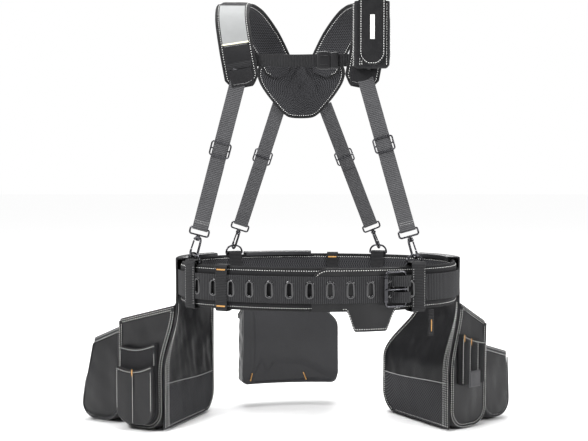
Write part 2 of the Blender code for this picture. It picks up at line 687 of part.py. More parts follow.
def back_panel(name, base, n_of, span, width_cut, z_low, mat, origin, ns=11):
    """Curved panel up the outside of the belt, folded over its top edge."""
    rings = []
    t = PANEL_T / 2
    for i in range(ns):
        u = i / (ns - 1)
        low = z_low(u)
        zs = [low, max(0.05, low + 0.004)] + list(Z_LEVELS) + [0.300, PAD_Z1 + 0.0030]
        outer, inner = [], []
        for z in zs:
            p, n = base(u, z), n_of(u, z)
            outer.append(p + n * t)
            inner.append(p - n * t)
        p, n = base(u, PAD_Z1 + 0.0045), n_of(u, 0.35)
        wid = 0.0080 + PAD_T + 0.0015
        q = np.array([0, 0, 1.0])
        base_z = np.array([p[0], p[1], PAD_Z1 + 0.0045])
        seq = outer + [base_z + n * t * 0.5 + q * 0.0012, base_z - n * (wid + 0.0015) + q * 0.0012,
                       base_z - n * (wid + 0.0027), base_z - n * (wid + 0.0027) - q * LIP,
                       base_z - n * (wid + 0.0002) - q * LIP, base_z - n * (wid + 0.0002) - q * 0.0014,
                       base_z - n * (t + 0.0006) - q * 0.0014] + inner[::-1]
        rings.append(seq)
    return loft(name, rings, mat, False, origin)


def make_pouch(tag, near, direc, span, depth, s_near, s_far, rim_out, hinge_xy, z0):
    """Big side pouch: curved back panel and open bag outside it."""
    near = np.array([near[0], near[1], 0.0])
    eu = unit((direc[0], direc[1], 0))
    ew = np.array([eu[1], -eu[0], 0.0])
    if np.dot(ew, ring_n(s_near)) < 0:
        ew = -ew
    org = (hinge_xy[0], hinge_xy[1], 0.262)

    def base(u, z):
        k = smooth((z - 0.120) / 0.135)
        lo = near + eu * span * u
        s = s_near + (s_far - s_near) * u
        hi = ring(s, 0.0080, 0)
        p = lo * (1 - k) + hi * k
        return np.array([p[0], p[1], z])

    def n_of(u, z):
        k = smooth((z - 0.120) / 0.135)
        s = s_near + (s_far - s_near) * u
        return unit(ew * (1 - k) + ring_n(s) * k)

    def low(u):
        r = 0.045
        d = (1 - u) * span
        e = 0.004 + z0
        if d < r:
            return e + r - math.sqrt(max(0.0, r * r - (r - d) ** 2))
        return e

    back_panel(tag + "_pouch_back", base, n_of, span, 0, low, LEATHER, org)

    def place(u, v, z):
        b = base(u, z) + n_of(u, z) * (PANEL_T / 2 + 0.0012)
        f = near + eu * span * u + ew * (depth + PANEL_T / 2)
        p = b * (1 - v) + np.array([f[0], f[1], z]) * v
        return np.array([p[0], p[1], z])

    def rim(u, v):
        return 0.258 + (rim_out - 0.258) * v - 0.006 * math.sin(math.pi * u) * v

    lev = [(z - z0 - 0.010) / (0.258 - z0 - 0.010) for z in Z_LEVELS]
    loft(tag + "_pouch_bag", bag_rings(place, 0, 1, 0, 1, depth, span, z0, rim, BAG_WALL, 9, 3, 0.010, lev),
         LEATHER, False, org)
    JOINTS[tag + "_pouch"] = org
    AXES[tag + "_pouch"] = (0, 0, 1)
    return near, eu, ew, org


def side_pocket(name, o, ex, en, wid, dep, z0, rim0, rim1, sag, mat, origin, wall=0.0017):
    """Shallow pocket on a flat side: ex along it, en out of it."""
    def place(u, v, z):
        p = o + ex * (wid * u) + en * (dep * v)
        return np.array([p[0], p[1], z])

    def rim(u, v):
        return rim0 + (rim1 - rim0) * u - sag * math.sin(math.pi * u) + 0.0015 * v

    rings = bag_rings(place, 0, 1, 0, 1, dep, wid, z0, rim, wall, 4, 2, 0.0030, (1.0,))
    return loft(name, rings, mat, False, origin)


def small_pouch(name, o, ex, en, wid, dep, dep_top, z0, rim0, rim1, mat, origin, fold=0.012):
    """Pouch on the front of a bag: rim0 against the bag, rim1 outside."""
    def place(u, v, z):
        k = min(1.0, max(0.0, (z - z0) / (rim1 - z0)))
        d = dep + (dep_top - dep) * k
        p = o + ex * (wid * u) + en * (d * v)
        return np.array([p[0], p[1], z])

    def rim(u, v):
        return rim0 + (rim1 - rim0) * v - 0.010 * math.sin(math.pi * u) * v

    rings = bag_rings(place, 0, 1, 0, 1, dep, wid, z0, rim, BAG_WALL, 7, 3, fold)
    return loft(name, rings, mat, False, origin)


# right pouch
rn, ru, rw, ro = make_pouch("right", (RING_END_X + 0.111, -0.018), (-0.558, 0.83), 0.205, R_DEPTH,
                            s_at(91), s_at(148), 0.214, (RING_END_X, 0.0), 0.0)
side_o = rn + rw * 0.022 - ru * 0.0008
side_pocket("right_pencil_pocket", side_o, rw, -ru, 0.066, 0.0130, 0.092, 0.196, 0.176, 0.004, FABRIC, ro)
front_o = rn + rw * (R_DEPTH + PANEL_T / 2 + 0.0005) + ru * 0.012
small_pouch("right_outer_pouch", front_o, ru, rw, 0.160, 0.088, 0.080, 0.002, 0.165, 0.140, LEATHER, ro)

# left pouch
ln, lu, lw, lo_ = make_pouch("left", (-RING_END_X - 0.1585, -0.020), (0.425, 0.905), 0.195, L_DEPTH,
                             -s_at(77), -s_at(148), 0.221, (-RING_END_X, 0.0), 0.0)
side_o = ln + lw * 0.012 - lu * 0.0008
side_pocket("left_pocket_upper", side_o, lw, -lu, 0.088, UPPER_D, 0.012, 0.178, 0.168, 0.008, FABRIC, lo_)
side_o = side_o - lu * (UPPER_D + 0.0005)
side_pocket("left_pocket_lower", side_o, lw, -lu, 0.088, 0.0120, 0.014, 0.136, 0.128, 0.010, LEATHER, lo_)
front_o = ln + lw * (L_DEPTH + PANEL_T / 2 + 0.0005) + lu * 0.008
small_pouch("left_holster", front_o, lu, lw, 0.120, HOLSTER_D, 0.072, 0.002, 0.205, 0.174, LEATHER, lo_, 0.016)
# loop for a tool on the far end of the left pouch
tl = ln + lu * (0.195 + 0.0018)
keys = [tl + lw * 0.010, tl + lw * 0.012 + lu * 0.014, tl + lw * 0.028 + lu * 0.024,
        tl + lw * 0.046 + lu * 0.014, tl + lw * 0.050]
pts = [np.array([p[0], p[1], 0.092]) for p in curve(keys, 13)]
nrm = []
for i, p in enumerate(pts):
    d = unit(pts[min(i + 1, 12)] - pts[max(i - 1, 0)])
    nrm.append(unit(np.cross(d, (0, 0, 1.0))))
strip("left_tool_loop", pts, nrm, [(0, 0, 1)] * 13, 0.100, 0.0024, LEATHER, lo_)

# back pouch, hung on the back arc
BK_A, BK_B = LT / 2 + 0.012, LT / 2 + 0.160
bk_org = (0.0, -D2, 0.262)


def bk_base(u, z):
    k = smooth((z - 0.180) / 0.080)
    a = (BK_A - 0.060) * (1 - k) + BK_A * k
    b = (BK_B + 0.001) * (1 - k) + BK_B * k
    s = a + (b - a) * u
    sink = 0.010 * (1 - smooth((z - 0.05) / 0.11))
    p = ring(s, 0.0080 + sink, 0)
    return np.array([p[0], p[1], z])


def bk_n(u, z):
    p = bk_base(u, z)
    return unit((p[0], p[1] + D2, 0))


def bk_low(u):
    r = 0.020
    d = min(u, 1 - u) * 0.21
    if d < r:
        return 0.058 + r - math.sqrt(max(0.0, r * r - (r - d) ** 2))
    return 0.058


back_panel("back_pouch_panel", bk_base, bk_n, 0.21, 0, bk_low, LEATHER, bk_org, 17)


def bk_place(u, v, z):
    n = bk_n(u, z)
    p = bk_base(u, z) + n * (PANEL_T / 2 + 0.0006 + 0.052 * v)
    return np.array([p[0], p[1], z])


loft("back_pouch_bag", bag_rings(bk_place, 0.02, 0.98, 0, 1, 0.052, 0.21, 0.052,
                                 lambda u, v: 0.236 - 0.030 * v, BAG_WALL), LEATHER, False, bk_org)
JOINTS["back_pouch"] = bk_org
AXES["back_pouch"] = (0, 0, 1)

# hanging webbing tab in front of the right pouch
s = s_at(29.5)
hz = PAD_Z0 - 0.0035
hp = ring(s, -0.004, hz)
n = ring_n(s)
P = [hp + np.array([0, 0, -0.050 * k / 4]) for k in range(5)]
strip("hanging_tab", P, [n] * 5, [ring_t(s)] * 5, 0.013, 0.0030, WEBBING, hp)
JOINTS["hanging_tab"] = tuple(hp)
AXES["hanging_tab"] = tuple(ring_t(s))

# phone pouch with its flap on the right shoulder pad
PX0, PX1, PY, PD, PZ0, PZ1 = 0.064, 0.130, -0.0945, 0.026, 0.7185, 0.8420
out = []


def ph_place(u, v, z):
    return np.array([PX0 + (PX1 - PX0) * u, PY - PD * v, z])


loft("phone_pouch", bag_rings(ph_place, 0, 1, 0, 1, PD, PX1 - PX0, PZ0, lambda u, v: PZ1, 0.0018, 3, 2, 0.006),
     FABRIC)
fo = (0.097, PY + 0.0035, PZ1 + 0.0030)
keys = [(0.0, 0.0), (-0.0020, 0.0012), (-0.0290, 0.0012), (-0.0325, -0.0010), (-0.0325, -0.0080),
        (-0.0325, -0.0950), (-0.0325, -0.1080), (-0.0325, -0.1180), (-0.0325, -0.1230)]
wids = [0.050] * 6 + [0.047, 0.036, 0.022]
rings = []
for i, (a, b) in enumerate(keys):
    a1, b1 = keys[min(i + 1, 8)]
    a0, b0 = keys[max(i - 1, 0)]
    d = unit((0, a1 - a0, b1 - b0))
    nn = np.cross(d, (1.0, 0, 0)) * 0.0011
    p = np.array([fo[0], fo[1] + a, fo[2] + b])
    w = np.array([wids[i] / 2, 0, 0])
    rings.append([p - w - nn, p + w - nn, p + w + nn, p - w + nn])
loft("phone_flap", rings, LEATHER, False, fo)
JOINTS["phone_flap"] = fo
AXES["phone_flap"] = (1, 0, 0)

# ---------------------------------------------------------------- to the frame
bpy.context.view_layer.update()
lo3 = np.array([1e9] * 3)
hi3 = -lo3
for ob in PARTS.values():
    for v in ob.data.vertices:
        w = ob.matrix_world @ v.co
        lo3 = np.minimum(lo3, w)
        hi3 = np.maximum(hi3, w)
SHIFT = np.array([-(lo3[0] + hi3[0]) / 2, -(lo3[1] + hi3[1]) / 2, -lo3[2]])
for ob in list(PARTS.values()) + list(TOOLS.objects):
    ob.location = tuple(np.array(ob.location) + SHIFT)
bpy.context.view_layer.update()
print("SIZE", [round(float(v), 5) for v in hi3 - lo3], "SHIFT", [round(float(v), 6) for v in SHIFT])
for name in sorted(JOINTS):
    p = np.array(JOINTS[name]) + SHIFT
    a = unit(AXES[name])
    print("JOINT", name, [round(float(v), 6) for v in p], [round(float(v), 6) for v in a])
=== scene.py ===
# %% [markdown]
# # A padded tool rig: belt, pouches and suspenders
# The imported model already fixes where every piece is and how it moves. Here each
# plain solid gets its real surface: webbing, leather, mesh, thread and metal.

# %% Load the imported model
import math
import bpy
import numpy as np
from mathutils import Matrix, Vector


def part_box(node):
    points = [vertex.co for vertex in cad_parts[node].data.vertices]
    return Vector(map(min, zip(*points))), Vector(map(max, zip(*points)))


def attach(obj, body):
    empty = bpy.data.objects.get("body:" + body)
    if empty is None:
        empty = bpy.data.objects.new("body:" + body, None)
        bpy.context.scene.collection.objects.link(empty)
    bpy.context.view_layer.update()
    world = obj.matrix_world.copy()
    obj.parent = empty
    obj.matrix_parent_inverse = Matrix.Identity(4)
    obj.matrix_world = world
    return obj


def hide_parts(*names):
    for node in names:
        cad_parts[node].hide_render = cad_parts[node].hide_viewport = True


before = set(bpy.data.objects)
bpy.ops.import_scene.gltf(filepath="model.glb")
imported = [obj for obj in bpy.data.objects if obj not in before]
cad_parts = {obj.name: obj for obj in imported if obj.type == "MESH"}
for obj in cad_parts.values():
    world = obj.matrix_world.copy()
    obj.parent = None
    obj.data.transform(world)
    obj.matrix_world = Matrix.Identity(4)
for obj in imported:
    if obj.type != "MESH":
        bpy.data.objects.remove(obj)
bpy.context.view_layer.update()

pad_low, pad_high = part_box("belt_pad")
SHIFT = np.array([(pad_low.x + pad_high.x) / 2, (pad_low.y + pad_high.y) / 2, 0.0])

# %% [markdown]
# ## Camera and light
# A tall object on a floor is calm to look at from belly height with a longish
# lens. The camera comes first, so every piece can be judged through it.

# %% Camera and lamps
CAM = np.array([-0.049, -1.8, 0.508]) + SHIFT
TILT_DOWN = 2.6      # degrees
cam_data = bpy.data.cameras.new("camera")
cam_data.lens = 54.6
cam_data.sensor_width = 36.0
camera = bpy.data.objects.new("camera", cam_data)
camera.location = CAM
camera.rotation_euler = (math.radians(90 - TILT_DOWN), 0, 0)
bpy.context.scene.collection.objects.link(camera)
bpy.context.scene.camera = camera
bpy.context.scene.view_settings.view_transform = 'Standard'


def soft_box(name, spot, target, size, watts):
    """Square area lamp at spot whose -Z axis points at target."""
    lamp = bpy.data.lights.new(name, 'AREA')
    lamp.energy, lamp.size = watts, size
    ob = bpy.data.objects.new(name, lamp)
    ob.location = spot
    way = np.array(target, float) - np.array(spot, float)
    tilt = math.acos(-way[2] / np.linalg.norm(way))
    ob.rotation_euler = (tilt, 0, math.atan2(way[1], way[0]) - math.pi / 2)
    bpy.context.scene.collection.objects.link(ob)


soft_box("key", (-1.5, -1.5, 2.1), (0, 0, 0.4), 0.8, 82)
soft_box("fill", (2.0, -1.1, 1.3), (0, 0, 0.4), 0.7, 38)
soft_box("top", (0.0, 0.1, 2.5), (0, 0, 0.2), 1.6, 84)
soft_box("rim", (0.3, 2.4, 1.9), (0, 0, 0.5), 1.4, 40)
print("camera at", [round(v, 3) for v in CAM])

# %% [markdown]
# ## The belt's plan
# Seen from above the belt is an oval of four arcs. Every piece on it is placed by
# its distance along that oval, how far out it lies, and its height.

# %% Oval of four arcs
END_R, END_X, HALF_Y = 0.125, 0.153, 0.165      # end arcs: radius, centre; half the belt's depth
BIG_R = (END_X ** 2 + HALF_Y ** 2 - END_R ** 2) / (2 * (HALF_Y - END_R))
BIG_Y = BIG_R - HALF_Y
TURN = math.atan2(END_X, BIG_Y)
LONG = BIG_R * TURN
SHORT = END_R * (math.pi - 2 * TURN)
ROUND = 4 * LONG + 2 * SHORT
PAD_Z0, PAD_Z1, PAD_T = 0.264, 0.347, 0.011
WEB_Z = (PAD_Z0 + PAD_Z1) / 2


def arc_of(s):
    """Angle of the outward normal, arc centre and radius at each distance s."""
    s = np.asarray(s, float)
    w = (s + ROUND / 2) % ROUND - ROUND / 2
    g = np.where(w >= 0, 1.0, -1.0)
    a = np.abs(w)
    front, end = a <= LONG, (a > LONG) & (a <= LONG + SHORT)
    ang = np.where(front, a / BIG_R, np.where(end, TURN + (a - LONG) / END_R,
                   math.pi - TURN + (a - LONG - SHORT) / BIG_R)) * g
    cx = np.where(end, g * END_X, 0.0)
    cy = np.where(front, BIG_Y, np.where(end, 0.0, -BIG_Y))
    return ang, cx, cy, np.where(end, END_R, BIG_R)


def stack(*parts):
    """Coordinates side by side along a new last axis."""
    return np.stack(np.broadcast_arrays(*parts), -1).astype(float)


def on_belt(s, off, z):
    """Point: arc centre plus (radius + off) times the outward normal, at height z."""
    ang, cx, cy, r = arc_of(s)
    return stack(cx + (r + off) * np.sin(ang), cy - (r + off) * np.cos(ang), z)


def belt_out(s):
    """Outward normal: (sin a, -cos a, 0)."""
    ang = arc_of(s)[0]
    return stack(np.sin(ang), -np.cos(ang), 0 * ang)


def belt_along(s):
    """Direction of growing s: (cos a, sin a, 0)."""
    ang = arc_of(s)[0]
    return stack(np.cos(ang), np.sin(ang), 0 * ang)


def at_angle(deg):
    """Distance along the belt where the normal has turned deg from the front."""
    g, a = (1.0 if deg >= 0 else -1.0), abs(math.radians(deg))
    if a <= TURN:
        return g * BIG_R * a
    if a <= math.pi - TURN:
        return g * (LONG + END_R * (a - TURN))
    return g * (LONG + SHORT + BIG_R * (a - math.pi + TURN))


print("belt round %.3f m" % ROUND)

# %% [markdown]
# ## Shader maths as expressions
# A small class wraps a node socket, so a pattern is written as a formula and the
# Math nodes are added by the operators.

# %% Socket class and material maker
class Sock:
    """A shader value that can be added, multiplied and mixed."""

    def __init__(self, tree, socket):
        self.tree, self.socket = tree, socket

    def node(self, kind, settings=(), **sockets):
        """New node: settings first, then its sockets by name, or i0, i1 by number."""
        n = self.tree.nodes.new(kind)
        for key, value in dict(settings).items():
            if key == "stops":
                for e, (pos, col) in zip(n.color_ramp.elements, value):
                    e.position, e.color = pos, (*col, 1)
            else:
                setattr(n, key, value)
        for key, value in sockets.items():
            entry = n.inputs[int(key[1:])] if key[1:].isdigit() else n.inputs[key]
            if isinstance(value, Sock):
                self.tree.links.new(value.socket, entry)
            else:
                entry.default_value = value
        return n

    def get(self, output, kind, settings=(), **sockets):
        """One output of a new node, by name or number."""
        return Sock(self.tree, self.node(kind, settings, **sockets).outputs[output])

    def math(self, operation, *values):
        sockets = {"i%d" % k: v for k, v in enumerate(values)}
        return self.get(0, 'ShaderNodeMath', {"operation": operation}, **sockets)

    def __add__(self, other): return self.math('ADD', self, other)
    def __radd__(self, other): return self.math('ADD', other, self)
    def __sub__(self, other): return self.math('SUBTRACT', self, other)
    def __rsub__(self, other): return self.math('SUBTRACT', other, self)
    def __mul__(self, other): return self.math('MULTIPLY', self, other)
    def __rmul__(self, other): return self.math('MULTIPLY', other, self)
    def sin(self): return self.math('SINE', self)
    def abs(self): return self.math('ABSOLUTE', self)
    def clamp(self): return self.get(0, 'ShaderNodeClamp', Value=self)

    def mix(self, a, b):
        """Colour a where this value is 0, colour b where it is 1."""
        return self.get(2, 'ShaderNodeMix', {"data_type": 'RGBA'}, i0=self, i6=(*a, 1), i7=(*b, 1))


class Look:
    """A material under construction: coordinates, noise, and its shader."""

    def __init__(self, name, rough=0.7, metal=0.0, sheen=0.0, gloss=0.5):
        self.mat = bpy.data.materials.new(name)
        self.mat.use_nodes = True
        self.tree = self.mat.node_tree
        self.shader = self.tree.nodes["Principled BSDF"]
        for key, value in (("Roughness", rough), ("Metallic", metal), ("Specular IOR Level", gloss)):
            self.shader.inputs[key].default_value = value
        if sheen:
            self.shader.inputs["Sheen Weight"].default_value = sheen
            self.shader.inputs["Sheen Roughness"].default_value = 0.5
        coords = Sock(self.tree, None).node('ShaderNodeTexCoord')
        self.obj = Sock(self.tree, coords.outputs["Object"])
        split = self.obj.node('ShaderNodeSeparateXYZ', Vector=Sock(self.tree, coords.outputs["UV"]))
        self.u, self.v = (Sock(self.tree, split.outputs[k]) for k in range(2))

    def noise(self, scale, detail=3.0, rough=0.5, vector=None):
        """Cloudy value near 0.5 whose patches are about 1 / scale metres wide."""
        return self.obj.get(0, 'ShaderNodeTexNoise', Vector=vector or self.obj, Scale=scale, Detail=detail,
                            Roughness=rough)

    def cells(self, scale):
        """Distance to the nearest of scattered points, in cells 1 / scale metres wide."""
        return self.obj.get(0, 'ShaderNodeTexVoronoi', Vector=self.obj, Scale=scale)

    def scaled(self, factors):
        """Object coordinates, each times its own factor."""
        return self.obj.get(0, 'ShaderNodeMapping', Vector=self.obj, Scale=factors)

    def feed(self, entry, value):
        """Link a value to one of the shader's sockets."""
        self.tree.links.new(value.socket, self.shader.inputs[entry])
        return self

    def bump(self, height, distance, strength=1.0):
        return self.feed("Normal", self.obj.get(0, 'ShaderNodeBump', Height=height, Distance=distance,
                                                Strength=strength))


print("one socket class and one material maker")

# %% [markdown]
# ## Floor and world
# The floor glows more the farther it lies from the rig, so it has no horizon. The
# camera sees a white world, but a much dimmer one lights the rig from all round.

# %% Floor and world
DOME = 0.20          # how strongly the white studio lights the rig
FAR_GLOW = 0.80      # light that the far floor gives off by itself
GLOW_SCALE = 0.26    # 1 / the distance, in metres, where the gradient ends
bpy.ops.mesh.primitive_plane_add(size=60)
floor = bpy.context.object
floor.name = "floor"
floor.location = (0, 0, -0.0008)
ground = Look("floor_white", 0.7)
ground.shader.inputs["Base Color"].default_value = (0.86, 0.86, 0.86, 1)
ground.shader.inputs["Emission Strength"].default_value = 1.0
near_rig = ground.obj.get("Fac", 'ShaderNodeTexGradient', {"gradient_type": 'SPHERICAL'},
                          Vector=ground.scaled((GLOW_SCALE,) * 3))
ground.feed("Emission Color", near_rig.get("Color", 'ShaderNodeValToRGB', {
    "stops": [(0.30, (FAR_GLOW,) * 3), (0.88, (0, 0, 0))]}, Fac=near_rig))
floor.data.materials.append(ground.mat)

world = bpy.data.worlds.new("studio")
bpy.context.scene.world = world
world.use_nodes = True
sky = Sock(world.node_tree, None)
background = sky.tree.nodes["Background"]
background.inputs["Color"].default_value = (1, 1, 1, 1)
background.inputs["Strength"].default_value = DOME
both = sky.node('ShaderNodeMixShader', i0=sky.get("Is Camera Ray", 'ShaderNodeLightPath'),
                i1=Sock(sky.tree, background.outputs[0]),
                i2=sky.get(0, 'ShaderNodeBackground', Color=(1, 1, 1, 1), Strength=1.0))
sky.tree.links.new(both.outputs[0], sky.tree.nodes["World Output"].inputs["Surface"])
print("floor glow %.2f, world %.2f" % (FAR_GLOW, DOME))

# %% [markdown]
# ## Leather
# Coated hide has a fine pebbled grain, a soft sheen, and slow cloudy changes of
# tone. Cells give the pebbles, two noises give the clouds and the scuffs.

# %% Leather looks
def leather(name, dark, light, grain=900.0, rough=0.36, gloss=0.30, crease=13.0):
    """Clouds and scuffs mix the tones; long soft creases, pebbles and pores make the bump."""
    look = Look(name, gloss=gloss)
    cloud = look.noise(9.0, 4.0, 0.6)
    scuff = look.noise(70.0, 5.0, 0.7)
    look.feed("Base Color", (cloud * 0.75 + scuff * 0.35 - 0.1).clamp().mix(dark, light))
    look.feed("Roughness", (rough + (scuff - 0.5) * 0.28).clamp())
    soft = look.noise(17.0, 1.5, 0.40, look.scaled((1.0, 1.0, 0.42)))
    look.bump(soft * crease + look.cells(grain) * 0.30 + look.noise(grain * 0.45, 2.0) * 0.2, 0.0010, 0.7)
    return look.mat


HIDE = leather("hide", (0.0045, 0.0045, 0.0050), (0.0130, 0.0130, 0.0142))
HIDE_SMOOTH = leather("hide_smooth", (0.010, 0.010, 0.0115), (0.024, 0.024, 0.027), 700.0, 0.40, 0.34, 5.0)
print("two leathers")

# %% [markdown]
# ## Woven cloth and webbing
# Ballistic cloth is a plain weave about a millimetre across. Webbing has ribs
# across its length. Both follow the piece's own UV map, which is in metres.

# %% Cloth looks
def weave(name, dark, light, pitch=0.0013):
    """Plain weave: sin(k u) * sin(k v), with clouds and fuzz."""
    look = Look(name, 0.85, sheen=0.04, gloss=0.2)
    k = 2 * math.pi / pitch
    over = (look.u * k).sin() * (look.v * k).sin()
    cloud = look.noise(14.0, 4.0, 0.6)
    tone = (over * 0.25 + cloud * 0.8 + look.noise(260.0, 2.0) * 0.3 - 0.1).clamp()
    look.feed("Base Color", tone.mix(dark, light))
    look.bump(over * 0.5 + cloud * 0.5, 0.0004, 0.6)
    return look.mat


def webbing(name, dark, light, pitch):
    """Ribs across: sine of u. Yarn columns 1.8 mm wide: a weaker sine of v."""
    look = Look(name, 0.78, sheen=0.05, gloss=0.2)
    rib = (look.u * (2 * math.pi / pitch)).sin()
    cross = rib * (look.v * (2 * math.pi / 0.0018)).sin()
    fuzz = look.noise(420.0, 3.0, 0.7)
    tone = (cross * 0.12 + rib * 0.34 + fuzz * 0.45 + look.noise(25.0, 3.0) * 0.3 + 0.08).clamp()
    look.feed("Base Color", tone.mix(dark, light))
    look.bump(cross * 0.4 + rib * 0.9 + fuzz * 0.4, 0.0007, 0.8)
    return look.mat


CLOTH = weave("black_cloth", (0.0040, 0.0040, 0.0045), (0.016, 0.016, 0.0175))
CLOTH_FINE = weave("fine_cloth", (0.006, 0.006, 0.0067), (0.021, 0.021, 0.023), 0.0009)
TAPE = webbing("binding_tape", (0.004, 0.004, 0.0045), (0.017, 0.017, 0.0185), 0.0012)
BELT_WEB = webbing("belt_webbing", (0.004, 0.004, 0.0045), (0.040, 0.040, 0.043), 0.0038)
STRAP_WEB = webbing("strap_webbing", (0.026, 0.026, 0.028), (0.112, 0.112, 0.117), 0.0034)
DARK_WEB = webbing("dark_webbing", (0.005, 0.005, 0.0055), (0.026, 0.026, 0.028), 0.0030)
print("two cloths and four webbings")

# %% [markdown]
# ## Air mesh
# The cool side of the belt and the yoke is a knitted mesh: rows of small dark
# holes between paler bars. Round cells on the UV map leave the bars standing.

# %% Mesh looks
def air_mesh(name, bar, hole, pitch, zigzag=0.0):
    """Holes where sin(k u) * sin(0.58 k v) is high; zigzag shifts u along each row."""
    look = Look(name, 0.9, sheen=0.03, gloss=0.2)
    k = 2 * math.pi / pitch
    shift = (look.v * (2 * math.pi / 0.020)).sin().abs() * zigzag
    a = ((look.u + shift) * k).sin()
    b = (look.v * (k * 0.58)).sin()
    hollow = ((a * b) * 2.2 + 0.35).clamp()
    look.feed("Base Color", (hollow * 0.9 + look.noise(300.0, 2.0) * 0.15).clamp().mix(bar, hole))
    look.bump(1 - hollow, 0.0009, 0.8)
    return look.mat


MESH = air_mesh("air_mesh", (0.050, 0.050, 0.054), (0.003, 0.003, 0.004), 0.0042)
MESH_BELT = air_mesh("belt_mesh", (0.050, 0.050, 0.054), (0.003, 0.003, 0.004), 0.0050, 0.006)
MESH_LOW = air_mesh("pouch_mesh", (0.062, 0.062, 0.066), (0.003, 0.003, 0.004), 0.0042)

print("three meshes")

# %% [markdown]
# ## Thread, metal, plastic, reflective tape
# Small parts need little: one noise mixes two close tones, and where a surface
# is worn the same noise also moves its roughness.

# %% Small looks
def two_tone(name, scale, detail, dark, light, rough, metal=0.0, gloss=0.5, wear=None, pits=None):
    """wear: least roughness and what the noise adds; pits: noise scale, detail and bump strength."""
    look = Look(name, rough, metal, gloss=gloss)
    tone = look.noise(scale, detail, 0.6 if wear else 0.5)
    look.feed("Base Color", tone.mix(dark, light))
    if wear:
        look.feed("Roughness", (wear[0] + tone * wear[1]).clamp())
    if pits:
        look.bump(look.noise(pits[0], pits[1]), 0.0002, pits[2])
    return look.mat


def thread(name, colour):
    """Matt fibre that varies by a quarter of its brightness."""
    return two_tone(name, 500.0, 2.0, tuple(0.75 * c for c in colour), colour, 0.75)


WHITE_THREAD = thread("white_thread", (0.86, 0.86, 0.84))
GREY_THREAD = thread("grey_thread", (0.34, 0.34, 0.34))
ORANGE_THREAD = thread("orange_thread", (0.66, 0.36, 0.11))
METAL = two_tone("gunmetal", 60.0, 4.0, (0.030, 0.030, 0.034), (0.095, 0.095, 0.102), 0.3, metal=1.0,
                 wear=(0.14, 0.16), pits=(900.0, 2.0, 0.15))
EYELET = two_tone("black_enamel", 120.0, 4.0, (0.006, 0.006, 0.007), (0.016, 0.016, 0.018), 0.16, gloss=0.8,
                  wear=(0.04, 0.08))
PLASTIC = two_tone("moulded_nylon", 40.0, 3.0, (0.007, 0.007, 0.008), (0.017, 0.017, 0.018), 0.38, gloss=0.3,
                   pits=(1500.0, 1.0, 0.25))
PALE = two_tone("pale_piping", 60.0, 2.0, (0.62, 0.60, 0.44), (0.74, 0.72, 0.55), 0.5)
LABEL = two_tone("white_label", 200.0, 2.0, (0.60, 0.60, 0.59), (0.74, 0.74, 0.73), 0.55)

glass_bead = Look("reflective_cloth", 0.85, gloss=0.06)
k = 2 * math.pi / 0.0020
fine_x = (glass_bead.u * k).sin() * (glass_bead.v * k).sin()
tone = (glass_bead.noise(35.0, 4.0, 0.6) * 0.8 + fine_x * 0.1).clamp()
glass_bead.feed("Base Color", tone.mix((0.20, 0.205, 0.205), (0.27, 0.275, 0.275)))
REFLECTIVE = glass_bead.bump(fine_x, 0.0002, 0.4).mat
print("materials", len(bpy.data.materials))

# %% [markdown]
# ## From a grid of points to a piece
# A shape is an array of points, rows by columns. One function turns it into a
# mesh with a UV map in metres, and ties it to the body it moves with.

# %% Grid to mesh
def lengths(P, axis, wrap):
    """Distance run along one axis of the grid, averaged over the other."""
    if wrap:
        P = np.concatenate([P, np.take(P, [0], axis)], axis)
    d = np.linalg.norm(np.diff(P, axis=axis), axis=-1).mean(1 - axis)
    return np.concatenate([[0.0], np.cumsum(d)])


def volume(verts, groups):
    """Six times the signed volume: the sum over triangles of a . (b x c)."""
    total = 0.0
    for f in groups:
        for k in range(1, f.shape[1] - 1):
            a, b, c = verts[f[:, 0]], verts[f[:, k]], verts[f[:, k + 1]]
            total += np.einsum("ij,ij->i", a, np.cross(b, c)).sum()
    return total


def mesh_from(name, verts, groups, uvs, mats, index=None, sharp=50.0):
    """Mesh object from points, groups of equal-sided faces, and their corner UVs."""
    me = bpy.data.meshes.new(name)
    me.from_pydata((verts + SHIFT).tolist(), [], [f for g in groups for f in g.tolist()])
    layer = me.uv_layers.new(name="UVMap")
    layer.data.foreach_set("uv", np.concatenate([np.asarray(q, np.float32).ravel() for q in uvs]))
    for m in mats:
        me.materials.append(m)
    if index is not None:
        me.polygons.foreach_set("material_index", np.concatenate(index).astype(np.int32))
    me.polygons.foreach_set("use_smooth", np.ones(len(me.polygons), bool))
    me.update()
    if sharp < 180:
        me.set_sharp_from_angle(angle=math.radians(sharp))
    ob = bpy.data.objects.new(name, me)
    bpy.context.scene.collection.objects.link(ob)
    return ob


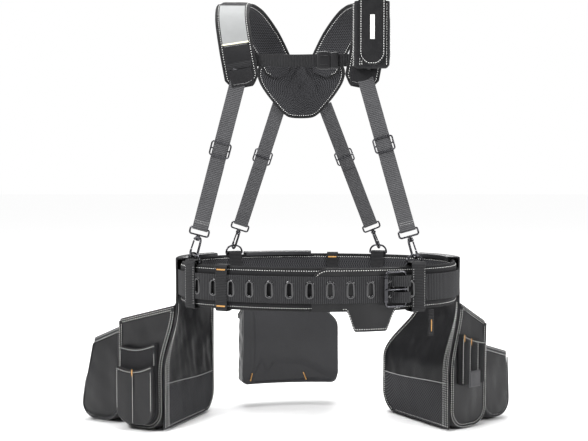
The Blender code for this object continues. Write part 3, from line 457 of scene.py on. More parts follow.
def grid(name, P, mats, body, slot, wrap_u=False, wrap_v=False, caps="", pick=None, keep=None,
         stands_for=(), sharp=50.0):
    """Piece from points P[u, v]. caps: fan or strip closes the two end rows;
    pick chooses a material for each face, keep drops faces."""
    nu, nv = P.shape[:2]
    mats = list(mats) if isinstance(mats, (list, tuple)) else [mats]
    I, J = np.meshgrid(np.arange(nu - (not wrap_u)), np.arange(nv - (not wrap_v)), indexing="ij")
    I2, J2 = (I + 1) % nu, (J + 1) % nv
    quads = np.stack([I * nv + J, I2 * nv + J, I2 * nv + J2, I * nv + J2], -1).reshape(-1, 4)
    U, V = lengths(P, 0, wrap_u), lengths(P, 1, wrap_v)
    uv = np.stack([np.stack([U[I + a], V[J + b]], -1) for a, b in ((0, 0), (1, 0), (1, 1), (0, 1))], -2)
    uv = uv.reshape(-1, 4, 2)
    index = np.zeros(len(quads), int) if pick is None else np.broadcast_to(pick(I, J), I.shape).reshape(-1)
    if keep is not None:
        good = np.broadcast_to(keep(I, J), I.shape).reshape(-1)
        quads, uv, index = quads[good], uv[good], index[good]
    verts, groups, uvs, marks = P.reshape(-1, 3), [quads], [uv], [index]
    j = np.arange(nv)
    if caps == "fan":
        verts = np.concatenate([verts, P[:1].mean(1), P[-1:].mean(1)])
        for row, hub, turn in ((0, nu * nv, -1), (nu - 1, nu * nv + 1, 1)):
            tri = np.stack([np.full(nv, hub), row * nv + j, row * nv + (j + 1) % nv], -1)
            tri = tri if turn > 0 else tri[:, [0, 2, 1]]
            groups.append(tri)
            x, y, z = np.moveaxis(verts[tri], -1, 0)
            uvs.append(np.stack([x + y, z - y], -1))
            marks.append(np.zeros(nv, int) + (pick(np.array(row - (row > 0)), j * 0) if pick else 0))
    if caps == "strip":
        h = np.arange(nv // 2 - 1)
        for row in (0, nu - 1):
            q = row * nv + np.stack([h, h + 1, nv - 2 - h, nv - 1 - h], -1)
            groups.append(q[:, ::-1] if row else q)
            uvs.append(np.stack([np.stack([V[h], 0 * V[h]], -1)] * 4, 1))
            marks.append(np.zeros(len(q), int) + int(index[0]))
    if caps or (wrap_u and wrap_v):
        if volume(verts - verts.mean(0), groups) < 0:
            groups, uvs = [g[:, ::-1] for g in groups], [q[:, ::-1] for q in uvs]
    ob = mesh_from(name, verts, groups, uvs, mats, marks, sharp)
    return tie(ob, body, slot, stands_for)


def shell(name, face, back, mats, body, slot, pick=None, stands_for=()):
    """Sheet with thickness: two matched skins joined round their four borders."""
    return grid(name, np.concatenate([face, back[:, ::-1]], 1), mats, body, slot, wrap_v=True, caps="strip",
                pick=pick, stands_for=stands_for)


def tie(ob, body, slot, stands_for=()):
    """Body it moves with and the plain solids it replaces; the material slot is not used."""
    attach(ob, body)
    if stands_for:
        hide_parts(*([stands_for] if isinstance(stands_for, str) else stands_for))
    return ob


print("grid maker ready")

# %% [markdown]
# ## Profiles carried along paths
# Webbing, tape, wire and padding are all one profile swept along a path. A frame
# of two directions at each point says how the profile sits.

# %% Profiles and sweeps
UP = np.array([0, 0, 1.0])


def unit(a):
    """Vectors scaled to length 1."""
    a = np.asarray(a, float)
    return a / np.maximum(np.linalg.norm(a, axis=-1, keepdims=True), 1e-12)


def slab(thick, width, n=10, r=None):
    """Rounded rectangle: thickness first, width second, n points along each long side."""
    r = min(thick, width) * 0.48 if r is None else r
    a = np.linspace(0, math.pi / 2, 4)
    h, w = thick / 2 - r, width / 2 - r
    side = np.linspace(-w, w, n)[1:-1]
    pts = [np.stack([h + r * np.cos(a), w + r * np.sin(a)], -1),
           np.stack([-h - r * np.sin(a), w + r * np.cos(a)], -1),
           np.stack([np.full(n - 2, -h - r), -side], -1),
           np.stack([-h - r * np.cos(a), -w - r * np.sin(a)], -1),
           np.stack([h + r * np.sin(a), -w - r * np.cos(a)], -1),
           np.stack([np.full(n - 2, h + r), side], -1)]
    return np.concatenate(pts)


def circle(n):
    """Unit circle as n points."""
    a = np.linspace(0, 2 * math.pi, n, endpoint=False)
    return np.stack([np.cos(a), np.sin(a)], -1)


def tangents(P, wrap=False):
    """Directions along a path, from the neighbours on both sides."""
    if wrap:
        return unit(np.roll(P, -1, 0) - np.roll(P, 1, 0))
    return unit(np.gradient(P, axis=0))


def swept(P, A, B, prof):
    """Points: path + A * first profile coordinate + B * second."""
    prof = prof if prof.ndim == 3 else np.broadcast_to(prof, (len(P),) + prof.shape)
    return P[:, None] + A[:, None] * prof[..., :1] + B[:, None] * prof[..., 1:]


def band(name, P, A, B, prof, mats, body, slot, **kw):
    """Profile swept along P and closed at both ends; A and B may be one vector."""
    G = swept(P, np.broadcast_to(A, P.shape), np.broadcast_to(B, P.shape), prof)
    return grid(name, G, mats, body, slot, wrap_v=True, caps="fan", **kw)


def rod(name, P, up, radius, mats, body, slot, wrap=False, sides=14, **kw):
    """Round wire along P, lying in a plane with normal up."""
    P = np.asarray(P, float)
    up = np.broadcast_to(unit(up), P.shape)
    T = tangents(P, wrap)
    side = unit(np.cross(T, up))
    top = unit(np.cross(side, T))
    r = np.broadcast_to(np.asarray(radius, float), (len(P),))
    prof = circle(sides)[None] * r[:, None, None]
    return grid(name, swept(P, side, top, prof), mats, body, slot, wrap_u=wrap, wrap_v=True,
                caps="" if wrap else "fan", **kw)


def curve(keys, n):
    """Smooth path through key points, cubic between neighbours."""
    keys = np.asarray(keys, float)
    ext = np.concatenate([[2 * keys[0] - keys[1]], keys, [2 * keys[-1] - keys[-2]]])
    u = np.linspace(0, len(keys) - 1, n)
    j = np.minimum(u.astype(int), len(keys) - 2)
    f = (u - j)[:, None]
    p0, p1, p2, p3 = ext[j], ext[j + 1], ext[j + 2], ext[j + 3]
    return 0.5 * (2 * p1 + (p2 - p0) * f + (2 * p0 - 5 * p1 + 4 * p2 - p3) * f ** 2
                  + (3 * p1 - p0 - 3 * p2 + p3) * f ** 3)


def travelled(P):
    """Distance run along a path at each of its points."""
    return np.concatenate([[0.0], np.cumsum(np.linalg.norm(np.diff(P, axis=0), axis=1))])


def read_at(at, d, P):
    """Rows of P read at the places at, where row k lies at d[k]."""
    return np.stack([np.interp(at, d, P[:, k]) for k in range(3)], -1)


def resample(P, step=None, count=None, wrap=False):
    """Points at equal distances along a path."""
    P = np.concatenate([P, P[:1]]) if wrap else P
    d = travelled(P)
    count = count or max(2, int(round(d[-1] / step)) + 1)
    return read_at(np.linspace(0, d[-1], count, endpoint=not wrap), d, P)


def loop_of(w, h, r, n=8):
    """Rounded rectangle outline, centred, w by h."""
    a = np.linspace(0, math.pi / 2, n)
    out = []
    for k, (sx, sy) in enumerate(((1, 1), (-1, 1), (-1, -1), (1, -1))):
        turn = a + k * math.pi / 2
        out.append(np.stack([sx * (w / 2 - r) + r * np.cos(turn), sy * (h / 2 - r) + r * np.sin(turn)], -1))
    return np.concatenate(out)


def smooth(t):
    """Smooth step t t (3 - 2 t), held at 0 and 1 outside."""
    t = np.clip(t, 0, 1)
    return t * t * (3 - 2 * t)


def round_end(r, d):
    """Rise of a rounded corner at distance d from its end: r - sqrt(r^2 - (r - d)^2), 0 beyond r."""
    d = np.clip(d, 0, r)
    return r - np.sqrt(np.maximum(r * r - (r - d) ** 2, 0))


def wavy(P, size, seed):
    """Slow bumps of about -1 to 1: a sum of sines along fixed random directions."""
    rng = np.random.default_rng(seed)
    total = np.zeros(P.shape[:-1])
    for _ in range(6):
        d = unit(rng.normal(size=3)) * (2 * math.pi / (size * rng.uniform(0.6, 1.6)))
        total += np.sin(P @ d + rng.uniform(0, 6.28)) / 6 * 1.6
    return total


print("sweeps ready")

# %% [markdown]
# ## Thread
# One stitch is a tiny spindle lying on the surface. Whole seams are computed at
# once: their centres, directions and the surface normal place every copy.

# %% Stitches and bartacks
RINGS = ((-0.62, 0.8), (0.0, 1.0), (0.62, 0.8))      # where a stitch has its rings, and how wide they are
SIDES = 5


def spindles(name, C, T, N, half, radius, mat, body, slot):
    """Stitches with centre C, direction T and normal N, as one mesh."""
    T = unit(T)
    S = unit(np.cross(N, T))
    N = unit(np.cross(T, S))
    a = np.linspace(0, 2 * math.pi, SIDES, endpoint=False)
    rows = [C[:, None] - T[:, None] * half]
    for x, r in RINGS:
        round_ = S[:, None] * np.cos(a)[None, :, None] + N[:, None] * np.sin(a)[None, :, None] * 0.8
        rows.append(C[:, None] + T[:, None] * (x * half) + round_ * (radius * r))
    V = np.concatenate(rows + [C[:, None] + T[:, None] * half], 1)
    j = np.arange(SIDES)
    k = (j + 1) % SIDES
    tip = np.concatenate([np.stack([0 * j, 1 + k, 1 + j], -1), np.stack([0 * j + 16, 11 + j, 11 + k], -1)])
    side = np.concatenate([np.stack([b + j, b + k, b + SIDES + k, b + SIDES + j], -1) for b in (1, 6)])
    base = (np.arange(len(C)) * V.shape[1])[:, None, None]
    groups = [(tip[None] + base).reshape(-1, 3), (side[None] + base).reshape(-1, 4)]
    uvs = [np.zeros(g.shape + (2,)) for g in groups]
    return tie(mesh_from(name, V.reshape(-1, 3), groups, uvs, [mat], None, 180.0), body, slot)


def seams(name, runs, mat, body, slot, pitch=0.0046, half=0.00125, radius=0.00062, lift=0.0002):
    """Stitch rows along runs, each a path and its normals."""
    C, T, N = [], [], []
    for P, normal in runs:
        d = travelled(P)
        if d[-1] < pitch:
            continue
        at = np.arange(pitch / 2, d[-1], pitch)
        n = unit(read_at(at, d, np.broadcast_to(np.asarray(normal, float), P.shape)))
        C.append(read_at(at, d, P) + n * lift)
        T.append(unit(read_at(at + 0.001, d, P) - read_at(at - 0.001, d, P)))
        N.append(n)
    return spindles(name, np.concatenate(C), np.concatenate(T), np.concatenate(N), half, radius, mat, body,
                    slot)


def bartacks(name, tacks, body, slot, length=0.012, width=0.0042):
    """Dense orange bars, a thread every 0.9 mm; each tack is centre, direction of the bar, normal."""
    C, T, N = [], [], []
    for c, along, n in tacks:
        along, n = unit(along), unit(n)
        k = np.linspace(-length / 2, length / 2, int(length / 0.0009))
        C.append(np.asarray(c)[None] + along * k[:, None] + n * 0.0004)
        T.append(np.broadcast_to(np.cross(n, along) + along * 0.25, (len(k), 3)))
        N.append(np.broadcast_to(n, (len(k), 3)))
    return spindles(name, np.concatenate(C), np.concatenate(T), np.concatenate(N), width / 2, 0.0006,
                    ORANGE_THREAD, body, slot)


print("thread ready")

# %% [markdown]
# ## The padded belt
# Foam inside cloth: the profile is fat in the middle and pinched where the
# binding is sewn. The side towards the body is mesh.

# %% Belt pad
def pad_profile(thick, width, edge, n=44):
    """Closed profile whose half thickness eases down to a thin bound edge."""
    w = np.linspace(-width / 2, width / 2, n)
    near = width / 2 - np.abs(w)
    h = thick / 2 * (0.42 + 0.58 * smooth((near - edge * 0.6) / (edge * 1.2)))
    h = np.where(near < 0.0016, thick / 2 * 0.42 * np.sqrt(np.clip(1 - (1 - near / 0.0016) ** 2, 0.02, 1)), h)
    return np.concatenate([np.stack([h, w], -1), np.stack([-h[::-1], w[::-1]], -1)])


EDGE_IN = 0.0068      # stitch row to the pad's edge
s = np.linspace(0.115, ROUND + 0.035, 300)
PP = pad_profile(PAD_T, PAD_Z1 - PAD_Z0, 0.007)
inner_face, bound = PP[:, 0] < -0.0035, np.abs(PP[:, 1]) > 0.0365
quilt = np.abs(np.sin(s / 0.026 * math.pi))[:, None] * (PP[:, 0] < -0.004)[None] * 0.0011
centre = on_belt(s, -PAD_T / 2, WEB_Z)
P = swept(centre, belt_out(s), np.broadcast_to(UP, centre.shape), PP)
P = P + belt_out(s)[:, None] * quilt[..., None]
pad = grid("belt_padding", P, [CLOTH, MESH_BELT, TAPE], "root", "black_fabric", wrap_v=True, caps="fan",
           pick=lambda i, j: np.where(inner_face[j], 1, np.where(bound[j], 2, 0)), stands_for="belt_pad")
runs = []
for z in (PAD_Z0 + EDGE_IN, PAD_Z1 - EDGE_IN):
    runs.append((on_belt(s, -0.0012, z), belt_out(s)))
    runs.append((on_belt(s, -PAD_T + 0.0015, z), -belt_out(s)))
seams("belt_pad_stitches", runs, WHITE_THREAD, "root", "black_fabric")
print("belt pad over %.3f m" % (s[-1] - s[0]))

# %% [markdown]
# ## Belt webbing with its eyelets
# The webbing runs round once and laps over itself through the buckle. Oblong
# holes are left out of the grid, and a pressed metal eyelet covers each edge.

# %% Webbing
S_HINGE, S_OUTER, OFF_HINGE, OFF_OUTER = 0.1585, 0.1194, 0.0097, 0.0118      # the buckle's two bars
WEB_T, WEB_H, WEB_OFF, S_TIP = 0.0025, 0.050, 0.00425, 0.206
OVER_BAR, UNDER_KEEPER = 0.0175, 0.0090      # how far out the free end runs there
HOLES = -0.245 + 0.0375 * np.arange(12)


def web_lift(s):
    """Flat, up over the hinge bar, then down under the keeper."""
    u = s - ROUND
    rise = smooth((u - S_OUTER - 0.006) / (0.150 - S_OUTER - 0.006))
    fall = smooth((u - 0.1635) / 0.008)
    return WEB_OFF + (OVER_BAR - WEB_OFF) * rise + (UNDER_KEEPER - OVER_BAR) * fall


s = np.concatenate([np.linspace(S_HINGE, ROUND - 0.262, 150), np.linspace(ROUND - 0.260, ROUND + S_TIP, 280)])
web_prof = slab(WEB_T, WEB_H, 34, 0.0010)
end = np.clip((ROUND + S_TIP - s) / 0.012, 0.02, 1)
shape = np.repeat(web_prof[None], len(s), 0)
shape[:, :, 1] *= (1 - 0.45 * (1 - np.sqrt(1 - (1 - end) ** 2)))[:, None]
P = swept(on_belt(s, web_lift(s), WEB_Z), belt_out(s), np.broadcast_to(UP, (len(s), 3)), shape)


def not_in_hole(i, j):
    """False for faces whose centre lies inside an oblong hole or the prong's slot."""
    mid = (s[i] + s[np.minimum(i + 1, len(s) - 1)]) / 2 - ROUND
    z = (web_prof[j, 1] + web_prof[(j + 1) % len(web_prof), 1]) / 2
    inside = np.zeros(i.shape, bool)
    for h in HOLES[:10]:
        dz = np.maximum(np.abs(z) - 0.0088, 0)
        inside |= (mid - h) ** 2 + dz ** 2 < 0.0050 ** 2
    inside |= (mid > 0.1275) & (mid < 0.1665) & (np.abs(z) < 0.0046)
    return ~inside


grid("belt_webbing", P, BELT_WEB, "root", "grey_webbing", wrap_v=True, keep=not_in_hole,
     stands_for="belt_web")
a = np.linspace(0, 2 * math.pi, 33)[:-1]
for k, z in enumerate((WEB_Z - 0.0155, WEB_Z + 0.0155)):
    hub = on_belt(S_HINGE, OFF_HINGE, z)
    P = hub + 0.00425 * (np.cos(a)[:, None] * belt_along(S_HINGE) + np.sin(a)[:, None] * belt_out(S_HINGE))
    P = swept(P, unit(P - hub), np.broadcast_to(UP, P.shape), slab(0.0024, 0.0165, 8, 0.0008))
    grid("web_fold_%d" % k, P, BELT_WEB, "root", "grey_webbing", wrap_u=True, wrap_v=True)
print("webbing to s = %.3f" % S_TIP)

# %% Eyelets
EYE_R, EYE_HALF = 0.0060, 0.0085      # end radius and half the straight part
a = np.linspace(0, 2 * math.pi, 40, endpoint=False)
oblong = np.stack([EYE_R * np.cos(a), np.sign(np.sin(a)) * EYE_HALF + EYE_R * np.sin(a)], -1)
crown = np.linspace(-1, 1, 9)
prof = np.concatenate([np.stack([0.0021 * crown, 0.0010 * np.sqrt(1 - 0.96 * crown ** 2)], -1),
                       [[0.0021, -0.0002], [-0.0012, -0.0006], [-0.0018, -0.0022], [-0.0024, -0.0022]]])
for k, h in enumerate(HOLES):
    mid = on_belt(h, web_lift(h + ROUND) + WEB_T / 2, WEB_Z)
    t, n = belt_along(h), belt_out(h)
    path = mid + oblong[:, :1] * t + oblong[:, 1:] * UP
    side = np.cos(a)[:, None] * t + np.sin(a)[:, None] * UP
    P = swept(path, side, np.broadcast_to(n, path.shape), prof * [1.05, 1.0])
    grid("eyelet_%02d" % k, P, EYELET, "root", "gunmetal", wrap_u=True, wrap_v=True, sharp=60)
print("eyelets", len(HOLES))

# %% Front panel behind the buckle
def panel_low(s):
    """Lower edge: a tongue 38 mm deep between two smooth steps."""
    down = smooth((s - 0.047) / 0.018) * smooth((0.143 - s) / 0.021)
    return PAD_Z0 + 0.001 - 0.038 * down


def panel_high(s):
    """Upper edge: a quarter circle that climbs to the pad's edge."""
    u = np.clip((s + 0.017) / 0.030, 0, 1)
    return PAD_Z1 - 0.031 + 0.030 * np.sqrt(np.clip(1 - (1 - u) ** 2, 0, 1)) * 0.98


s = np.concatenate([[-0.0168, -0.0163, -0.0152], np.linspace(-0.0135, 0.150, 90)])
S_, V_ = np.meshgrid(s, np.linspace(0, 1, 24), indexing="ij")
Z_ = panel_low(S_) + (panel_high(S_) - panel_low(S_)) * V_
puff = 0.0003 * np.sin(S_ * 90)
shell("front_leather", on_belt(S_, 0.0025 + puff, Z_), on_belt(S_, 0.0004, Z_), HIDE, "root", "black_leather",
      stands_for="front_panel")
ROW_IN = 0.0045      # stitch row to the panel's edge
top, low = np.linspace(s[0] + ROW_IN, 0.150, 140), np.linspace(0.040, 0.150, 90)
top_z = np.minimum(panel_high(top - ROW_IN * 0.4), PAD_Z1 - 0.001) - ROW_IN
seams("front_leather_stitches", [(on_belt(top, 0.0026, top_z), belt_out(top)),
                                 (on_belt(low, 0.0026, panel_low(low) + ROW_IN), belt_out(low))],
      WHITE_THREAD, "root", "black_leather")
print("front panel made")

# %% [markdown]
# ## Buckle
# A bent steel frame, a roller for the webbing to slide over, and a prong that
# goes through the eyelet.

# %% Buckle metal
hinge_at, outer_at = on_belt(S_HINGE, OFF_HINGE, 0), on_belt(S_OUTER, OFF_OUTER, 0)
reach = unit(outer_at - hinge_at)
outward = unit(np.cross(reach, UP))
outward = outward if outward @ belt_out(S_HINGE) > 0 else -outward
span = np.linalg.norm(outer_at - hinge_at)
outline = loop_of(span, 0.064, 0.006, 10)
P = hinge_at + reach * (outline[:, :1] + span / 2) + UP * (WEB_Z + outline[:, 1:])
rod("buckle_steel", resample(P, count=140, wrap=True), outward, 0.0025, METAL, "root", "gunmetal", wrap=True,
    sides=16, stands_for="buckle_frame")
prof_z = np.array([-0.0235, -0.0235, -0.0228, -0.020, 0.020, 0.0228, 0.0235, 0.0235])
prof_r = np.array([0.0030, 0.0040, 0.0043, 0.0042, 0.0042, 0.0043, 0.0040, 0.0030])
turned = circle(28)[None, :, :1] * reach + circle(28)[None, :, 1:] * outward
P = outer_at + prof_r[:, None, None] * turned + UP * (WEB_Z + prof_z)[:, None, None]
grid("roller_tube", P, METAL, "roller", "gunmetal", wrap_v=True, stands_for="buckle_roller", sharp=40)
turn_r = 0.0047
path = [hinge_at + reach * turn_r * np.cos(k) + outward * turn_r * np.sin(k)
        for k in np.radians(np.linspace(-160, 90, 40))]
for d, h in ((span * 0.35, 0.0052), (span * 0.7, 0.0064), (span - 0.003, 0.0066), (span + 0.004, 0.0062)):
    path.append(hinge_at + reach * d + outward * h)
path = resample(curve(np.array(path), 160), count=120) + [0, 0, WEB_Z]
taper = np.where(np.linspace(0, 1, 120) > 0.9, 0.0015, 0.0018)
rod("prong_steel", path, (0, 0, 1), taper, METAL, "prong", "gunmetal", stands_for="buckle_prong")
print("buckle span %.4f m" % span)

# %% [markdown]
# ## Keepers and sewn loops
# Short loops of webbing are sewn round the belt. Four of them hold a D ring on
# top. Orange bartacks lock the sewn ones.

# %% Loops round the belt
KEEPERS = {"front_left": at_angle(-47.5), "front_right": 0.1856,
           "back_left": -(ROUND / 2 - 0.1857), "back_right": ROUND / 2 - 0.138}


def belt_loop(name, s0, width, out, top, mats, stands_for):
    """Webbing band round the belt's section, centred at s0."""
    low, inner = PAD_Z0 - 0.0021, -PAD_T - 0.0018
    ring = loop_of(out - inner, top - low, 0.0032, 8)
    ring = resample(np.concatenate([ring, np.zeros((len(ring), 1))], 1), count=110, wrap=True)
    T = tangents(ring, True)
    Nn = np.stack([T[:, 1], -T[:, 0]], -1)
    prof = slab(0.0018, width, 12, 0.0007)
    off = (inner + out) / 2 + ring[:, None, 0] + Nn[:, None, 0] * prof[None, :, 0]
    z = (low + top) / 2 + ring[:, None, 1] + Nn[:, None, 1] * prof[None, :, 0]
    P = on_belt(s0 + prof[None, :, 1] + 0 * off, off, z)
    return grid(name, P, mats, "root", "grey_webbing", wrap_u=True, wrap_v=True, stands_for=stands_for)


for side, s0 in KEEPERS.items():
    out = 0.0117 if side == "front_right" else 0.0070      # this one also holds the belt's free end
    belt_loop("keeper_web_" + side, s0, 0.029, out, PAD_Z1 + 0.0069, DARK_WEB, "keeper_" + side)
    z0, z1 = PAD_Z0 + 0.006, PAD_Z1 - 0.004
    runs = [(on_belt(s0 + q, out + 0.0010, np.linspace(z0, z1, 24)), belt_out(s0)) for q in (-0.0118, 0.0118)]
    seams("keeper_stitches_" + side, runs, GREY_THREAD, "root", "grey_webbing")
LOOPS = {"front": -0.189, "back": ROUND / 2 - 0.036}
tacks = []
for side, s0 in LOOPS.items():
    belt_loop("sewn_loop_" + side, s0, 0.024, 0.0070, PAD_Z1 + 0.0018, DARK_WEB, "belt_loop_" + side)
    g = 0.0079 if side == "front" else -PAD_T - 0.0027
    n = belt_out(s0) * (1 if side == "front" else -1)
    for z in (PAD_Z0 + 0.007, PAD_Z1 - 0.007):
        tacks.append((on_belt(s0, g, z), belt_along(s0), n))
bartacks("belt_bartacks", tacks, "root", "grey_webbing", length=0.017, width=0.0034)
print("loops", len(KEEPERS) + len(LOOPS))

# %% [markdown]
# ## D rings, hooks, bails, sliders and straps
# Each corner repeats one chain: D ring on the belt, snap hook in the ring,
# swivelling bail on the hook, strap round the bail, slider on the strap.

# %% Where each strap starts and ends
TOPS = {"front_left": (-0.150, -0.0928, 0.716), "front_right": (0.082, -0.0918, 0.716),
        "back_left": (-0.080, 0.1030, 0.668), "back_right": (0.016, 0.1030, 0.668)}
SLIDE_Z = {"front_left": 0.566, "front_right": 0.575, "back_left": 0.557, "back_right": 0.557}
RING_R, RING_H = 0.0180, 0.0170      # D ring: half its width, and its height
HOOK_W, BAIL_H, STRAP_HALF = 0.0090, 0.0149, 0.0009


def lathe_points(prof, o, axis, side):
    """Profile (radius, height) turned about an axis through o."""
    prof, c = np.asarray(prof, float), circle(24)[None]
    ring = c[..., :1] * side + c[..., 1:] * np.cross(axis, side)
    return o + axis * prof[:, None, 1:] + prof[:, None, :1] * ring


def corner(side):
    """One suspender corner, built on the line from its D ring to its pad."""
    def wire(name, line, up, radius, part, **kw):
        rod(name + "_" + side, line, up, radius, METAL, part + "_" + side, "gunmetal", **kw)

    def turned(name, prof, part, **kw):
        grid(name + "_" + side, lathe_points(prof, hk, ax, xh), METAL, part + "_" + side, "gunmetal",
             wrap_v=True, stands_for=part + "_" + side, sharp=35, **kw)

    s0 = KEEPERS[side]
    t, n = belt_along(s0), belt_out(s0)
    base = on_belt(s0, -0.0040, PAD_Z1 + 0.0034)
    a = np.linspace(0, math.pi, 40)
    arc = base + t * RING_R * np.cos(a)[:, None] + UP * (RING_H * np.sin(a) ** 0.8)[:, None]
    bar = base + t * np.linspace(-RING_R, RING_R, 12)[1:-1, None]
    wire("dring_wire", resample(np.concatenate([arc, bar]), count=90, wrap=True), n, 0.0020, "dring",
         wrap=True, stands_for="dring_" + side)
    # directions: ax up the strap, nn out of its face, ww across it; xh and yh for the hook
    ring_top, top = base + UP * RING_H, np.array(TOPS[side])
    ax = unit(top - ring_top)
    xh = unit(n - ax * (n @ ax))
    yh = np.cross(ax, xh)
    face = np.array([0, -1.0 if side[0] == "f" else 1.0, 0])
    nn = unit(face - ax * (face @ ax))
    ww = np.cross(ax, nn)
    hk = ring_top + ax * 0.0275
    # the hook: collar, then a wire that thickens round its belly
    turned("hook_collar", [(0.0026, 0.0), (0.0046, 0.0), (0.0052, 0.0006), (0.0052, 0.0044), (0.0046, 0.0050),
                           (0.0026, 0.0050)], "hook", wrap_u=True)
    path = [(-0.0038, 0.0028), (-0.0066, 0.0018), (-0.0086, -0.0030), (-HOOK_W, -0.0100), (-HOOK_W, -0.0180)]
    path += [(HOOK_W * math.cos(k), -0.0250 + HOOK_W * math.sin(k))
             for k in np.radians(np.linspace(180, 360, 24))]
    path = np.array(path + [(HOOK_W, -0.0207)])
    wire("hook_wire", curve(hk + xh * path[:, :1] + ax * path[:, 1:], 110), yh,
         0.0021 + 0.0005 * np.sin(np.linspace(0, 1, 110) * math.pi), "hook")
    lug = np.array([(0.0036, 0.0022), (0.0060, 0.0014), (0.0082, -0.0008)])
    wire("hook_lug", curve(hk + xh * lug[:, :1] + ax * lug[:, 1:], 12), yh, 0.0022, "hook")
    pivot = hk + xh * 0.0076 - ax * 0.0042
    line = curve([pivot + ax * 0.0012, pivot - ax * 0.0005, pivot + xh * 0.0005 - ax * 0.0060,
                  hk + xh * HOOK_W - ax * 0.0198], 30)
    wire("gate_bar", line, yh, 0.0016, "gate", stands_for="gate_" + side)
    # the bail: a stud that turns in the collar, and the loop that holds the strap
    turned("bail_stud", [(0.0001, -0.0031), (0.0030, -0.0031), (0.0036, -0.0026), (0.0036, -0.0009),
                         (0.0030, -0.0004), (0.0021, -0.0004), (0.0021, 0.0054), (0.0037, 0.0055),
                         (0.0041, 0.0060), (0.0041, 0.0080), (0.0001, 0.0086)], "bail")
    loop = loop_of(0.0370, 0.0132, 0.0040, 10)
    line = hk + ax * BAIL_H + ww * loop[:, :1] + ax * loop[:, 1:]
    wire("bail_wire", resample(line, count=90, wrap=True), nn, 0.0018, "bail", wrap=True)
    # strap, doubled from the bail to below the slider
    bend_at, off = hk + ax * 0.0215, 0.0022 + STRAP_HALF
    slide_a = (SLIDE_Z[side] - bend_at[2]) / ax[2]
    front = bend_at + ax * (float((top - bend_at) @ ax) * (1 - np.linspace(0, 1, 70)))[:, None] + nn * off
    c = np.linspace(0, math.pi, 20)[1:-1]
    bend = nn * np.cos(c)[:, None] - ax * np.sin(c)[:, None]
    q = np.linspace(0, 1, 50)
    back = bend_at + ax * ((slide_a - 0.030) * q)[:, None] - nn * (off - 0.0024 * smooth(q * 2.5))[:, None]
    P = np.concatenate([front, bend_at + bend * off, back])
    N = np.concatenate([np.broadcast_to(nn, front.shape), bend, np.broadcast_to(-nn, back.shape)])
    band("strap_web_" + side, P, N, ww, slab(2 * STRAP_HALF, 0.030, 16, 0.0007), STRAP_WEB, "root",
         "grey_webbing", stands_for="strap_" + side)
    across = ww * np.linspace(-0.013, 0.013, 12)[:, None]
    rows = [(bend_at + ax * h + nn * (off + STRAP_HALF) + across, nn) for h in (0.010, 0.014)]
    seams("strap_stitches_" + side, rows, GREY_THREAD, "root", "grey_webbing", 0.003, 0.0011)
    # slider: flattened frame, and the middle bar behind the strap
    sc = bend_at + ax * slide_a + nn * off
    hi = STRAP_HALF + 0.0004 + 0.0016
    loop = loop_of(0.0372, 0.0270, 0.0045, 10)
    line = sc + nn * hi + ww * loop[:, :1] + ax * loop[:, 1:]
    wire("slider_frame", resample(line, count=100, wrap=True), nn, 0.0016, "slider", wrap=True,
         stands_for="slider_" + side)
    steps = ((-0.0186, 1), (-0.0182, -0.6), (-0.0160, -1), (0, -1), (0.0160, -1), (0.0182, -0.6), (0.0186, 1))
    wire("slider_bar", curve([sc + ww * w + nn * hi * h for w, h in steps], 50), ax, 0.0015, "slider")


for side in KEEPERS:
    corner(side)
print("four corners made")

# %% [markdown]
# ## Shoulder pads
# Each pad is a long foam strip that climbs the chest, crosses the shoulder and
# comes down behind. A smooth path carries a profile that is thick in the middle
# and thin at its bound edges; mesh faces the body, cloth faces out.

# %% Paths of the two pads
SHOULDER = np.array([(-0.145, -0.0880, 0.684), (-0.152, -0.0880, 0.720), (-0.160, -0.0870, 0.765),
                     (-0.168, -0.0660, 0.820), (-0.166, -0.0150, 0.854), (-0.146, 0.0380, 0.848),
                     (-0.112, 0.0760, 0.805), (-0.084, 0.0885, 0.750), (-0.074, 0.0890, 0.728)])
MID_X = -0.034
CHEST_W, CHEST_T = 0.066, 0.010


def pad_frame(keys, n):
    """Path, its outward normal and its width direction, which stays near +X."""
    P = resample(curve(keys, 600), count=n)
    d = tangents(P)
    w = unit(np.array([1.0, 0, 0]) - d * d[:, :1])
    return P, -unit(np.cross(d, w)), w


def on_pad(frame_, run, across, lift):
    """Points on a pad's outer face: run 0..1 along it, across in metres."""
    P = frame_[0]
    p, n, w = (read_at(np.asarray(run, float) * (len(P) - 1), np.arange(len(P)), A) for A in frame_)
    return p + w * np.asarray(across)[..., None] + n * np.asarray(lift)[..., None]


